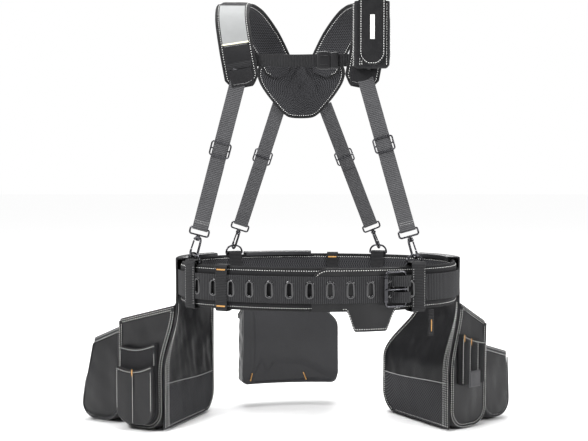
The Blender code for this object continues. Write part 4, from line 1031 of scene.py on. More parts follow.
def shoulder_pad(name, keys, stands_for, seed):
    """Foam strip: k narrows it towards its ends, where it also grows thin."""
    P, N, W = pad_frame(keys, 150)
    run = travelled(P)
    near = np.minimum(run, run[-1] - run)
    k = (0.60 + 0.40 * np.clip(near / 0.019, 0, 1)) * (0.90 + 0.10 * smooth(near / 0.004))
    prof = pad_profile(CHEST_T, CHEST_W, 0.0065, 40)
    shape = np.repeat(prof[None], len(P), 0)
    shape[:, :, 1] *= k[:, None]
    shape[:, :, 0] *= np.clip(0.35 + 0.65 * near / 0.010, 0, 1)[:, None]
    G = swept(P, N, W, shape)
    flat = (np.abs(prof[:, 1]) < 0.024)[None, :, None]
    G = G + N[:, None] * (wavy(G, 0.045, seed) * 0.0007)[..., None] * flat
    pad = grid(name, G, [CLOTH_FINE, MESH, TAPE], "root", "black_fabric", wrap_v=True, caps="fan",
               pick=lambda i, j: np.where(np.abs(prof[j, 1]) > 0.0265, 2, np.where(prof[j, 0] < 0, 1, 0)),
               stands_for=stands_for)
    runs = []
    for edge in (-1, 1):
        for lift in (CHEST_T / 2 - 0.0009, -CHEST_T / 2 + 0.0009):
            line = P + W * (edge * (k * CHEST_W / 2 - 0.0062))[:, None] + N * lift
            runs.append((line[3:-3], N[3:-3] * np.sign(lift)))
    seams(name + "_stitches", runs, WHITE_THREAD, "root", "black_fabric")
    return P, N, W


left_pad = shoulder_pad("chest_pad_left", SHOULDER, "shoulder_pad_left", 11)
right_pad = shoulder_pad("chest_pad_right", SHOULDER * [-1, 1, 1] + [2 * MID_X, 0, 0], "shoulder_pad_right",
                         12)
print("pad length %.3f" % travelled(left_pad[0])[-1])

# %% Layers sewn on the left pad
def patch(name, frame_, r0, r1, width, thick, lift, mats, slot, stands_for=(), n=30, bulge=0.0):
    """Flat layer on a pad from run r0 to r1, rounded over at its edges."""
    prof = slab(thick, width, 16, thick * 0.45)
    r = np.linspace(r0, r1, n)
    dome = np.sin(np.linspace(0, math.pi, n))[:, None] * np.cos(prof[None, :, 1] / width * 2.8)
    off = prof[None, :, 0] + lift + thick / 2 + bulge * dome
    G = on_pad(frame_, r[:, None] + 0 * off, prof[None, :, 1] + 0 * off, off)
    return grid(name, G, mats, "root", slot, wrap_v=True, caps="fan", stands_for=stands_for)


def run_at(z, frame_=left_pad):
    """Run along the front of a pad where its height is z."""
    h = frame_[0][:, 2]
    top = int(np.argmax(h))
    return float(np.interp(z, h[:top], np.arange(top))) / (len(h) - 1)


SKIN = CHEST_T / 2      # the pad's outer face above its middle
patch("reflective_layer", left_pad, run_at(0.767), run_at(0.842), 0.049, 0.0014, SKIN + 0.0003, REFLECTIVE,
      "reflective_tape", stands_for="reflective_panel", n=50)
patch("reflective_edge", left_pad, run_at(0.7645), run_at(0.7672), 0.050, 0.0020, SKIN + 0.0002, PALE,
      "reflective_tape", n=4)
patch("pen_pocket", left_pad, run_at(0.7295), run_at(0.7645), 0.048, 0.0016, SKIN - 0.0002, CLOTH,
      "black_fabric", n=30, bulge=0.0016)
patch("pocket_hem", left_pad, run_at(0.7195), run_at(0.7325), 0.047, 0.0018, SKIN + 0.0004, DARK_WEB,
      "grey_webbing", n=20, bulge=0.0008)
for tag, f in (("left", left_pad), ("right", right_pad)):
    patch("strap_anchor_" + tag, f, run_at(0.6870, f), run_at(0.7185, f), 0.043, 0.0016, SKIN + 0.0022, CLOTH,
          "black_fabric", n=14, bulge=0.0008)
x = np.linspace(-0.022, 0.022, 60)
saw = np.abs((x / 0.0036) % 1 - 0.5) * 0.0035
zigzag = on_pad(left_pad, run_at(0.7615) + saw * 2.0, x, 0 * x + SKIN + 0.0022)
crossed = np.array([(-1, 0.1, 0), (0.5, 0, 0), (1, 0.3, 0)]) * [0.0175, 0.0110, 1]
line = resample(crossed, 0.0012)
rows = []
for f in (left_pad, right_pad):
    r0, r1 = run_at(0.6905, f), run_at(0.7015, f)
    rows.append((on_pad(f, r0 + (r1 - r0) * line[:, 1] / 0.0110, line[:, 0], 0 * line[:, 0] + SKIN + 0.0042),
                 f[1][4]))
seams("anchor_stitches", rows, GREY_THREAD, "root", "grey_webbing", 0.0026, 0.0010, 0.0004)
seams("panel_zigzag", [(zigzag, left_pad[1][20])], GREY_THREAD, "root", "black_fabric", 0.0022, 0.0010,
      0.0004)
print("layers on the pads")

# %% [markdown]
# ## Back yoke
# A soft mesh shield joins the two pads behind the neck. Its pleats spread from
# a gathered point at the top, so ridges follow lines from that point.

# %% Yoke
outline = np.array([(-0.040, 0.775), (-0.066, 0.769), (-0.084, 0.757), (-0.093, 0.738), (-0.0885, 0.715),
                    (-0.073, 0.6895), (-0.054, 0.666), (-0.035, 0.6465), (-0.018, 0.6395), (0.018, 0.6395),
                    (0.035, 0.6465), (0.054, 0.666), (0.073, 0.6895), (0.0885, 0.715), (0.093, 0.738),
                    (0.084, 0.757), (0.066, 0.769), (0.040, 0.775), (0.020, 0.7685), (0, 0.7665),
                    (-0.020, 0.7685)])
keys = np.concatenate([outline, outline[:1]])
rim = resample(curve(np.concatenate([keys, 0 * keys[:, :1]], 1), 400), count=160)[:, :2][:-1]
hub = np.array([0.0, 0.705])
YOKE_Y = 0.1000
r = np.concatenate([np.linspace(0.02, 0.93, 34), [0.955, 0.975, 0.99, 1.0]])
flat = hub + (rim[None] - hub) * r[:, None, None]


def pleats(xz):
    """Ridges along rays from the gathered point, fading towards the rim."""
    d = xz - np.array([0.0, 0.762])
    ang = np.arctan2(d[..., 0], -d[..., 1])
    far = np.linalg.norm(d, axis=-1)
    fade = smooth(far / 0.012) * smooth((0.112 - far) / 0.045)
    return fade * (np.abs(np.cos(ang * 3.1)) ** 0.6 - 0.5)


puff = np.sqrt(np.clip(1 - r ** 6, 0.02, 1))[:, None]
front_y = YOKE_Y - 0.0048 * puff - 0.0058 * pleats(flat)
back_y = YOKE_Y + 0.0036 * puff
front, back = (stack(MID_X + flat[..., 0], y, flat[..., 1]) for y in (front_y, back_y))
G = np.concatenate([front, back[::-1]], 0)
grid("neck_yoke", G, [MESH, TAPE, CLOTH_FINE], "root", "air_mesh", wrap_v=True, caps="fan",
     pick=lambda i, j: np.where((i > 32) & (i < 42), 1, np.where(i > 36, 2, 0)) + 0 * j,
     stands_for="back_yoke")
low_rim = rim[rim[:, 1] < 0.752]
low_rim = low_rim[np.argsort(np.arctan2(low_rim[:, 0], -(low_rim[:, 1] - 0.72)))]
inner = hub + (low_rim - hub) * 0.915
runs = [(stack(MID_X + inner[:, 0], y, inner[:, 1]), (0, sign, 0))
        for y, sign in ((0.0950, -1.0), (0.1036, 1.0))]
a = np.radians(np.linspace(215, 325, 30))
runs.append((stack(MID_X + 0.017 * np.cos(a), 0.0946, 0.7645 + 0.012 * np.sin(a)), (0, -1.0, 0)))
seams("yoke_stitches", runs, WHITE_THREAD, "root", "air_mesh", lift=0.0006)
print("yoke rim points", len(rim))

# %% [markdown]
# ## Chest strap and its side-release buckle
# The socket is a flattened moulded shell with a mouth; the insert's tongue
# slides into it. Both are rounded rectangles that change size along the strap.

# %% Chest strap
CH_Y, CH_Z = -0.0777, 0.737
for tag, xa, xb, body in (("left", -0.170, -0.0035, "root"), ("right", 0.0245, 0.086, "insert")):
    x = np.linspace(xa, xb, 60)
    P = stack(x, CH_Y, CH_Z + 0.0006 * np.sin((x - xa) * 40))
    band("chest_web_" + tag, P, (0, -1.0, 0), UP, slab(0.0016, 0.024, 14, 0.0006), DARK_WEB, body,
         "grey_webbing", stands_for="chest_strap_" + tag)


def moulded(name, rows, body, stands_for=()):
    """Sections (x, height, depth) joined along X; each is a rounded rectangle."""
    G = []
    for x, h, d in rows:
        q = loop_of(h, d, min(0.0022, 0.45 * d), 7)
        G.append(stack(x, CH_Y + q[:, 1], CH_Z + q[:, 0]))
    grid(name, np.stack(G), PLASTIC, body, "buckle_plastic", wrap_v=True, caps="fan", stands_for=stands_for,
         sharp=35)


outer_rows = [(-0.0060, 0.028, 0.0075), (-0.0055, 0.0305, 0.0088), (-0.0040, 0.0325, 0.0098),
              (0.0030, 0.0340, 0.0104), (0.0120, 0.0340, 0.0104), (0.0180, 0.0325, 0.0100),
              (0.0196, 0.0315, 0.0096), (0.0200, 0.0300, 0.0088)]
inner_rows = [(0.0199, 0.0262, 0.0058), (0.0190, 0.0250, 0.0052), (-0.0015, 0.0240, 0.0050)]
moulded("socket_shell", outer_rows + inner_rows, "root", "chest_socket")
moulded("insert_block", [(0.0206, 0.0270, 0.0072), (0.0210, 0.0290, 0.0086), (0.0228, 0.0305, 0.0092),
                         (0.0300, 0.0318, 0.0094), (0.0345, 0.0318, 0.0094), (0.0357, 0.0305, 0.0084),
                         (0.0360, 0.0285, 0.0066)], "insert", "chest_insert")
moulded("insert_tongue", [(0.0010, 0.0090, 0.0028), (0.0018, 0.0120, 0.0036), (0.0060, 0.0200, 0.0038),
                          (0.0150, 0.0215, 0.0038), (0.0212, 0.0215, 0.0038)], "insert")
for k, z in enumerate((-0.0085, 0.0085)):
    rod("socket_rib_%d" % k, stack(np.linspace(0.001, 0.015, 20), CH_Y - 0.0053, CH_Z + z), (0, -1, 0),
        0.0007, PLASTIC, "root", "buckle_plastic")
print("chest strap made")

# %% [markdown]
# ## Bags
# Every pouch here is an open bag: a loop with rounded corners, carried up from
# the floor to the rim, turned over the rim and carried down inside again.

# %% One bag maker
def bag(name, place, rim_z, wide, deep, z0, mat, body, slot, stands_for, corner, rows, crease, seed,
        wall=0.0022, fold=0.010, u_low=0.0, v_low=0.0, bulge=0.0, n=16):
    """place(u, v, z) maps the loop into the rig; u_low and v_low are the radii that
    lift the floor's ends into a U. The bulge swells the walls halfway up."""
    c0 = min(corner, 0.3 * deep, 0.3 * wide)

    def outline_at(d):
        """The loop drawn in by d, as shares of the width and the depth."""
        w, h, r = wide - 2 * d, deep - 2 * d, max(c0 - d, 0.0006)
        x, y = w / 2 - r, h / 2 - r
        t = np.linspace(-1, 1, n + 2)[1:-1]
        m = np.linspace(-1, 1, max(4, n // 2) + 2)[1:-1]
        q = []
        for k, (sx, sy) in enumerate(((1, 1), (-1, 1), (-1, -1), (1, -1))):
            turn = np.linspace(0, math.pi / 2, 7) + k * math.pi / 2
            q.append(np.stack([sx * x + r * np.cos(turn), sy * y + r * np.sin(turn)], -1))
            q.append(stack(sx * w / 2, sx * m * y) if k % 2 else stack(-sx * t * x, sy * h / 2))
        q = np.concatenate(q)
        return q[:, 0] / wide + 0.5, q[:, 1] / deep + 0.5

    def lifted(u, v, z):
        """Raise the floor near its rounded ends, fading out 90 mm up."""
        lift = 0.0
        for f, size, r in ((u, wide, u_low), (v, deep, v_low)):
            lift = lift + round_end(r, np.minimum(f, 1 - f) * size)
        return z + lift * (1 - smooth((z - z0) / 0.090)) * 0.94

    def level(d, height):
        """One ring, drawn in by d; height turns the rim's height into the ring's."""
        u, v = outline_at(d)
        rim = rim_z(u, v)
        z = height(rim)
        P = place(u, v, lifted(u, v, z))
        k = np.clip((z - z0) / (rim - z0), 0, 1)
        out = unit((P - place(0.5 + 0 * u, 0.5 + 0 * v, z)) * [1, 1, 0])
        calm = smooth(k / 0.15) * smooth((1 - k) / 0.16)
        folds = wavy(P * [1, 1, 0.45], 0.050, seed) + 0.5 * wavy(P * [1, 1, 0.6], 0.022, seed + 50)
        swell = bulge * np.sin(math.pi * k)
        return P + out * (calm * (crease * folds) + swell)[:, None] * (v > 0.02)[:, None]

    def on_wall(d, f):
        return level(d, lambda rim: z0 + fold + f * (rim - z0 - fold))

    G = [level(fold * a, lambda rim: 0 * rim + z0 + fold * b)
         for a, b in ((1.5, 0), (0.85, 0.06), (0.36, 0.34), (0.08, 0.74))]
    G += [on_wall(0.0, f) for f in np.linspace(0, 0.985, rows)]
    G += [level(wall * a, lambda rim: rim - b) for a, b in ((0.15, 0.0004), (0.5, 0), (0.85, 0.0004))]
    G += [on_wall(wall, f) for f in np.linspace(0.985, 0, rows // 2)]
    G += [level(wall + min(fold * 1.2, 0.15 * deep), lambda rim: 0 * rim + z0 + wall + 0.001)]
    grid(name, np.stack(G), mat, body, slot, wrap_v=True, caps="fan", stands_for=stands_for)


def tape(name, path, normal, width, thick, lift, body):
    """Binding tape lying on a surface along a path; returns its width direction."""
    B = unit(np.cross(tangents(path), normal))
    N = unit(np.cross(B, tangents(path)))
    band(name, path + N * lift, N, B, slab(thick, width, 6, thick * 0.45), TAPE, body, "black_fabric")
    return B


def rim_tape(name, P, inside, sink, prof, mat, body, slot):
    """Binding folded over a rim; returns the normals that point away from inside."""
    out = unit(np.cross(tangents(P), UP))
    out = out * np.sign(np.einsum("ij,ij->i", out, P - inside))[:, None]
    band(name, P - out * 0.0011 - UP * sink, out, UP, prof, mat, body, slot)
    return out


def rim_loop(wide, deep, e, q, turns, across):
    """Loop positions round a rim's near, outer and far sides, with corners of radius e."""
    c = np.radians(np.linspace(0, 90, turns))
    m = np.linspace(e / wide, 1 - e / wide, across)[1:-1]
    u = np.concatenate([0 * q, e / wide * (1 - np.cos(c)), m, 1 - e / wide * (1 - np.sin(c)), 1 + 0 * q])
    v = np.concatenate([q * (1 - e / deep), 1 - e / deep * (1 - np.sin(c)), 1 + 0 * m,
                        1 - e / deep * (1 - np.cos(c)), q[::-1] * (1 - e / deep)])
    return u, v


def side_u(rim_z, deep, e, ends, across, r, z_floor, inset, drop):
    """Loop positions and heights of a U on a bag's side: down at e, round the floor, up at 1 - e."""
    v = np.concatenate([np.full(ends, e), np.linspace(e, 1 - e, across), np.full(ends, 1 - e)])
    low = z_floor + round_end(r, np.minimum(v, 1 - v) * deep - inset)
    top = [float(rim_z(np.array(0.0), np.array(w))) - drop for w in (e, 1 - e)]
    z = np.concatenate([np.linspace(top[0], low[ends], ends), low[ends:ends + across],
                        np.linspace(low[ends + across - 1], top[1], ends)])
    return v, z


# how a hanging sheet's outer and inner skin fold over the belt: outward, then up from the pad's top
OVER = np.array([(0.0012, 0.0040), (0.0006, 0.0052), (-0.0006, 0.0058), (-0.0190, 0.0058), (-0.0222, 0.0052),
                 (-0.0232, 0.0036), (-0.0232, -0.0025)])
UNDER = np.array([(-0.0014, 0.0029), (-0.0018, 0.0031), (-0.0024, 0.0031), (-0.0190, 0.0031),
                  (-0.0205, 0.0029), (-0.0207, 0.0024), (-0.0207, -0.0025)])


def folded_skins(B, N, sway, top_b, top_n):
    """Outer and inner skin of a sheet, 1.5 mm to each side of B, with its fold over the belt."""
    skins = []
    for half, prof in ((0.0015, OVER), (-0.0015, UNDER)):
        turn = top_b * [1, 1, 0] + top_n * prof[None, :, :1] + UP * (PAD_Z1 + prof[None, :, 1:])
        skins.append(np.concatenate([B + N * (half + sway)[..., None], turn], 1))
    return skins


print("bag maker ready")

# %% [markdown]
# ## The two side pouches
# Behind each bag a stiff leather panel runs up outside the belt and folds over
# it. Low down the panel is flat; higher up it blends into the belt's curve.

# %% Panel and bag for one side
MESH_TOP = 0.092       # mesh below this height on the panels' inner faces
LOW_R = 0.045          # radius of the panel's far lower corner


def make_side(tag, near, direc, span, depth, s_near, s_far, rim_out, seed):
    """One panel and bag: near corner, direction and length of the inner wall, depth,
    the belt's stretch under the fold, and the rim's height at the outer side."""
    body = tag + "_pouch"
    near = np.array([*near, 0.0])
    eu = unit(np.array([*direc, 0.0]))
    ew = np.array([eu[1], -eu[0], 0.0])
    ew = ew if ew @ belt_out(s_near) > 0 else -ew

    def base(u, z):
        """Chord low down, belt arc high up, blended by a smooth step."""
        k = smooth((z - 0.120) / 0.135)[..., None]
        lo = near + eu * span * np.asarray(u)[..., None]
        hi = on_belt(s_near + (s_far - s_near) * u, 0.0080, 0)
        return (lo * (1 - k) + hi * k) * [1, 1, 0] + stack(0, 0, z)

    def out_of(u, z):
        """Outward normal of the base, blended alike."""
        k = smooth((z - 0.120) / 0.135)[..., None]
        return unit(ew * (1 - k) + belt_out(s_near + (s_far - s_near) * u) * k)

    def place(u, v, z):
        b = base(u, z) + out_of(u, z) * 0.0027
        f = near + eu * span * u[..., None] + ew * (depth + 0.0015)
        return (b * (1 - v[..., None]) + f * v[..., None]) * [1, 1, 0] + stack(0, 0, z)

    def rim_z(u, v):
        return 0.258 + (rim_out - 0.258) * v - 0.006 * np.sin(math.pi * u) * v

    # back panel
    nu, nz = 70, 54
    u = np.linspace(0, 1, nu)[:, None]
    low = 0.004 + round_end(LOW_R, (1 - u) * span)
    z = low + (PAD_Z1 + 0.0026 - low) * np.linspace(0, 1, nz)[None]
    U = u + 0 * z
    B, N = base(U, z), out_of(U, z)
    k = smooth((z - low) / 0.02) * smooth((0.300 - z) / 0.05)
    sway = 0.0016 * wavy(B * [1, 1, 0.30], 0.050, seed) + 0.0009 * wavy(B * [1, 1, 0.5], 0.024, seed + 9)
    sway = sway * k
    face, back = folded_skins(B, N, sway, base(u, 0 * u + 0.35), out_of(u, 0 * u + 0.35))
    first, last = nz + len(OVER), 2 * (nz + len(OVER))      # columns of the inner face, top to bottom

    def low_inside(i, j):
        below = z[np.minimum(i, nu - 1), np.clip(last - 1 - j, 0, nz - 1)] < MESH_TOP
        return np.where((j >= first) & (j < last) & below, 1, 0)

    shell(tag + "_panel", face, back, [HIDE, MESH_LOW], body, "black_leather", stands_for=tag + "_pouch_back",
          pick=low_inside)
    bag(tag + "_bag", place, rim_z, span, depth, 0.0, HIDE, body, "black_leather", tag + "_pouch_bag",
        corner=0.010, rows=40, v_low=0.030, crease=0.0015, bulge=0.002, seed=seed + 3)
    return dict(tag=tag, body=body, near=near, eu=eu, ew=ew, base=base, out_of=out_of, place=place,
                rim_z=rim_z, span=span, depth=depth)


RIGHT = make_side("right", (0.264, -0.018), (-0.558, 0.83), 0.205, 0.102, at_angle(91), at_angle(148), 0.214,
                  21)
LEFT = make_side("left", (-0.3115, -0.020), (0.425, 0.905), 0.195, 0.108, -at_angle(77), -at_angle(148),
                 0.221, 31)
print("two side pouches")

# %% Bindings and seams of the side pouches
def trim(side):
    """Tape round the rim, the gussets and the panel, with rows of stitches."""
    place, rim_z, eu, base, out_of = (side[k] for k in ("place", "rim_z", "eu", "base", "out_of"))
    body, tag, span, depth = (side[k] for k in ("body", "tag", "span", "depth"))
    runs = []
    # rim: near side, front, far side
    u, v = rim_loop(span, depth, 0.010, np.linspace(0.03, 0.985, 40), 10, 60)
    P = place(u, v, rim_z(u, v))
    out = rim_tape(tag + "_rim_tape", P, place(0.5 + 0 * u, 0.5 + 0 * v, rim_z(u, v)), 0.0040,
                   slab(0.0040, 0.0100, 8, 0.0018), TAPE, body, "black_fabric")
    for dz in (0.0030, 0.0072):
        runs.append((P + out * 0.0009 - UP * dz, out))
        runs.append((P - out * 0.0032 - UP * dz, -out))
    # gussets: a U down the back edge, round the floor and up the front edge
    v, z = side_u(rim_z, depth, 0.045, 40, 60, 0.034, 0.0065, 0.0045, 0.004)
    for u0, sgn, nm in ((0.0, -1.0, "near"), (1.0, 1.0, "far")):
        P = resample(place(u0 + 0 * v, v, z), count=170) + eu * sgn * 0.0002
        n = np.broadcast_to(eu * sgn, P.shape)
        B = tape("%s_gusset_tape_%s" % (tag, nm), P, n, 0.0085, 0.0020, 0.0004, body)
        for w in (-0.0026, 0.0026):
            runs.append((P[2:-2] + B[2:-2] * w + n[2:-2] * 0.0015, n[2:-2]))
    # panel: binding down both edges, on the belt side, and two more rows near the first
    z = np.linspace(0.0075, 0.262, 60)
    for far in (False, True):
        u = 1 - (0.018 + round_end(LOW_R, z - 0.004) / span) if far else np.full(60, 0.018)
        P, n = base(u, z), -out_of(u, z)
        B = tape("%s_panel_tape_%d" % (tag, far), P, n, 0.0075, 0.0018, 0.0020, body)
        for w in (-0.0024, 0.0024):
            runs.append((P + B * w + n * 0.0032, n))
        if not far:
            runs += [(base(u + w / span, z) + n * 0.0026, n) for w in (0.0080, 0.0115)]
    # piping above the mesh, and the bottom hem
    u = np.linspace(0.03, 0.97, 80)
    z = MESH_TOP + 0.004 * np.cos(u * math.pi * 1.2)
    n = -out_of(u, z)
    rod(tag + "_mesh_piping", base(u, z) + n * 0.0024, n, 0.0008, GREY_THREAD, body, "black_fabric", sides=8)
    u = np.linspace(0.03, 0.80, 60)
    runs.append((base(u, 0 * u + 0.0095) + n[:60] * 0.0022, n[:60]))
    seams(tag + "_pouch_stitches", runs, WHITE_THREAD, body, "black_leather")


trim(RIGHT)
trim(LEFT)
print("side pouches bound")

# %% [markdown]
# ## Pockets on the gussets
# Right: a flat pocket sewn into three pencil channels. Left: two stacked
# pockets with dipping rims, the lower one with a seam down its middle.

# %% Pocket maker
def gusset_pocket(side, name, v0, wide, deep, z0, rim0, rim1, sag, lift, mat, slot, seed, channels=0,
                  u_low=0.0):
    """Flat bag on the near gusset; channels swell its front between their seams."""
    o = side["near"] + side["ew"] * v0 - side["eu"] * (0.0008 + lift)
    ex, en = side["ew"], -side["eu"]

    def place(u, v, z):
        swell = 0.0024 * np.abs(np.sin(channels * math.pi * u)) * (v > 0.5)
        P = o + ex * (wide * u)[..., None] + en * (deep * v + swell)[..., None]
        return P * [1, 1, 0] + stack(0, 0, z)

    def rim_z(u, v):
        return rim0 + (rim1 - rim0) * u - sag * np.sin(math.pi * u) + 0.0015 * v

    bag(name, place, rim_z, wide, deep, z0, mat, side["body"], slot, name, wall=0.0014, fold=0.0030,
        corner=0.004, rows=30, u_low=u_low, crease=0.0006, seed=seed, n=40)
    return place, rim_z


def rim_band(side, name, place, rim_z):
    """Tape over a pocket's outer rim, with its path returned for the stitches."""
    u = np.linspace(0.02, 0.98, 50)
    P = place(u, 1 + 0 * u, rim_z(u, 1 + 0 * u) - 0.0030)
    n = -side["eu"]
    band(name, P - n * 0.0006, n, unit(np.cross(tangents(P), n)), slab(0.0028, 0.0075, 6, 0.0012), TAPE,
         side["body"], "black_fabric")
    return P + n * 0.0010, n


def down_front(side, place, u0, z, lift=0.0003):
    """Upright line on a pocket's front at loop position u0."""
    return place(np.full(len(z), u0), np.ones(len(z)), z) - side["eu"] * lift, -side["eu"]


tacks = []
place, rim_z = gusset_pocket(RIGHT, "right_pencil_pocket", 0.022, 0.066, 0.0130, 0.092, 0.196, 0.176, 0.004,
                             0.0, CLOTH, "black_fabric", 41, channels=3)
runs = [rim_band(RIGHT, "pencil_rim_tape", place, rim_z)]
for u0 in (0.03, 0.333, 0.667, 0.97):
    z = np.linspace(0.097, float(rim_z(np.array(u0), np.array(1.0))) - 0.003, 40)
    runs.append(down_front(RIGHT, place, u0, z))
for u0 in (0.06, 0.36):
    c = place(np.array(u0), np.array(1.0), rim_z(np.array(u0), np.array(1.0)) - 0.006)
    tacks.append((c - RIGHT["eu"] * 0.0012, UP, -RIGHT["eu"]))
seams("pencil_stitches", runs, WHITE_THREAD, "right_pouch", "black_fabric")
bartacks("pencil_bartacks", tacks, "right_pouch", "black_fabric", length=0.0125, width=0.0026)
# webbing square sewn under the channels
o = RIGHT["near"] + RIGHT["ew"] * 0.055 - RIGHT["eu"] * 0.0160
a, b = np.meshgrid(np.linspace(-0.0155, 0.0155, 30), np.linspace(-0.0165, 0.0165, 30), indexing="ij")
edge = smooth((0.0165 - np.maximum(np.abs(a) * 1.06, np.abs(b))) / 0.0030)
square = o + RIGHT["ew"] * a[..., None] + stack(0, 0, 0.104 + b)
shell("pencil_patch", square - RIGHT["eu"] * (0.0008 + 0.0024 * edge)[..., None],
      square + RIGHT["eu"] * 0.0012, STRAP_WEB, "right_pouch", "grey_webbing")
print("pencil pocket made")

# %% Left gusset pockets
runs = []
for name, lift, deep, z0, r0, r1, sag, mat, slot in (
        ("left_pocket_upper", 0.0, 0.0110, 0.012, 0.178, 0.168, 0.008, CLOTH_FINE, "black_fabric"),
        ("left_pocket_lower", 0.0115, 0.0120, 0.014, 0.136, 0.128, 0.010, HIDE, "black_leather")):
    place, rim_z = gusset_pocket(LEFT, name, 0.012, 0.088, deep, z0, r0, r1, sag, lift, mat, slot, 51,
                                 u_low=0.032)
    runs.append(rim_band(LEFT, name + "_tape", place, rim_z))
    runs += [down_front(LEFT, place, u0, np.linspace(0.045, r1 - 0.006, 30)) for u0 in (0.035, 0.965)]
P, n = down_front(LEFT, place, 0.52, np.linspace(0.017, 0.120, 50), 0.0006)
rod("left_pocket_seam", P, LEFT["eu"], 0.0011, HIDE_SMOOTH, "left_pouch", "black_leather", sides=8)
runs.append((P + n * 0.0008, n))
seams("left_pocket_stitches", runs, WHITE_THREAD, "left_pouch", "black_leather")
bartacks("left_bartack", [(P[-1] + n * 0.0024, UP, n)], "left_pouch", "black_leather", length=0.0120,
         width=0.0030)
print("left pockets made")

# %% [markdown]
# ## Outer pouches
# A smaller pouch is sewn to the front of each bag. They taper upwards and have
# a U-shaped side with piping.

# %% Right outer pouch and left holster
def outer_pouch(side, name, u0, wide, dep, dep_top, z0, rim0, rim1, fold, seed, low_r, bulge):
    """Bag on a pouch's outer wall that narrows from dep at the floor to dep_top at the rim."""
    o = side["near"] + side["ew"] * (side["depth"] + 0.0020) + side["eu"] * u0
    ex, en = side["eu"], side["ew"]

    def place(u, v, z):
        k = np.clip((z - z0) / (rim1 - z0), 0, 1)
        d = dep + (dep_top - dep) * k
        return (o + ex * (wide * u)[..., None] + en * (d * v)[..., None]) * [1, 1, 0] + stack(0, 0, z)

    def rim_z(u, v):
        return rim0 + (rim1 - rim0) * v - 0.010 * np.sin(math.pi * u) * v

    bag(name + "_hide", place, rim_z, wide, dep, z0, HIDE, side["body"], "black_leather", name, fold=fold,
        corner=0.014, rows=36, v_low=low_r, crease=0.0017, bulge=bulge, seed=seed)
    u, v = rim_loop(wide, dep, 0.014, np.linspace(0.02, 1, 40), 12, 50)
    P = place(u, v, rim_z(u, v))
    out = rim_tape(name + "_rim_tape", P, place(0.5 + 0 * u, 0.5 + 0 * v, rim_z(u, v)), 0.0045,
                   slab(0.0044, 0.0120, 8, 0.0020), HIDE_SMOOTH, side["body"], "black_leather")
    rim_rows = [(P + out * 0.0011 - UP * dz, out) for dz in (0.0018, 0.0085)]
    # piping round the U of each side
    v, z = side_u(rim_z, dep, 0.07, 30, 50, low_r, z0 + 0.006, 0.07 * dep, 0.011)
    side_rows = []
    for u1, sgn, nm in ((0.0, -1.0, "near"), (1.0, 1.0, "far")):
        L = resample(place(u1 + 0 * v, v, z), count=150) + ex * sgn * (bulge * 0.4)
        rod("%s_piping_%s" % (name, nm), L, ex, 0.0014, HIDE_SMOOTH, side["body"], "black_leather", sides=10)
        B = unit(np.cross(tangents(L), ex)) * 0.0038
        side_rows.append((L[3:-3] + B[3:-3] + ex * sgn * 0.0004, ex * sgn))
    seams(name + "_stitches", rim_rows, WHITE_THREAD, side["body"], "black_leather")
    seams(name + "_side_stitches", side_rows, GREY_THREAD, side["body"], "black_leather")


outer_pouch(RIGHT, "right_outer_pouch", 0.012, 0.160, 0.088, 0.080, 0.002, 0.165, 0.140, 0.012, 61, 0.034,
            0.0030)
outer_pouch(LEFT, "left_holster", 0.008, 0.120, 0.114, 0.072, 0.002, 0.205, 0.174, 0.016, 71, 0.040, 0.0040)
print("outer pouches made")

# %% Tool loop on the left pouch
lw, lu = LEFT["ew"], LEFT["eu"]
start = LEFT["near"] + lu * (LEFT["span"] + 0.0018)
keys = [start + lw * w + lu * u
        for w, u in ((0.010, 0), (0.012, 0.014), (0.028, 0.024), (0.046, 0.014), (0.050, 0))]
P = curve(keys, 60) * [1, 1, 0] + [0, 0, 0.092]
N = unit(np.cross(tangents(P), UP))
band("tool_loop_hide", P, N, UP, slab(0.0024, 0.100, 30, 0.0010), HIDE, "left_pouch", "black_leather",
     stands_for="left_tool_loop")
N = N if N[30] @ lu > 0 else -N
runs = [(P[4:-4] + UP * dz + N[4:-4] * 0.0014, N[4:-4]) for dz in (-0.046, 0.046)]
seams("tool_loop_stitches", runs, GREY_THREAD, "left_pouch", "black_leather")
SEWN_AT = 12      # point of the path where the orange row runs, on both faces
up_row = UP * np.linspace(-0.024, 0.026, 40)[:, None]
runs = [(P[SEWN_AT] + n * 0.0016 + up_row, n) for n in (-N[SEWN_AT], N[SEWN_AT])]
seams("tool_loop_orange", runs, ORANGE_THREAD, "left_pouch", "black_leather", 0.0030, 0.0014, 0.0006)
print("tool loop made")

# %% [markdown]
# ## Back pouch
# A smooth leather bag behind the belt. Its front sheet hangs flat, then curls
# away towards the floor, which is why its lower part lies in shade.

# %% Back pouch
BK_A, BK_B = ROUND / 2 + 0.012, ROUND / 2 + 0.160      # the belt's stretch under the fold


def bk_base(u, z):
    """On the belt's curve high up; wider and sunk inwards low down."""
    k = smooth((z - 0.180) / 0.080)
    a = (BK_A - 0.060) * (1 - k) + BK_A * k
    b = (BK_B + 0.001) * (1 - k) + BK_B * k
    sink = 0.010 * (1 - smooth((z - 0.05) / 0.11))
    return on_belt(a + (b - a) * u, 0.0080 + sink, 0) * [1, 1, 0] + stack(0, 0, z)


def bk_out(u, z):
    """Away from the centre of the belt's back arc."""
    return unit((bk_base(u, z) + [0, BIG_Y, 0]) * [1, 1, 0])


def bk_place(u, v, z):
    """Loop position in the rig: the base, moved out by up to 52 mm."""
    return bk_base(u, z) + bk_out(u, z) * (0.0021 + 0.052 * v)[..., None]


def bk_rim(u, v):
    """Rim height, lower in front."""
    return 0.236 - 0.030 * v + 0 * u


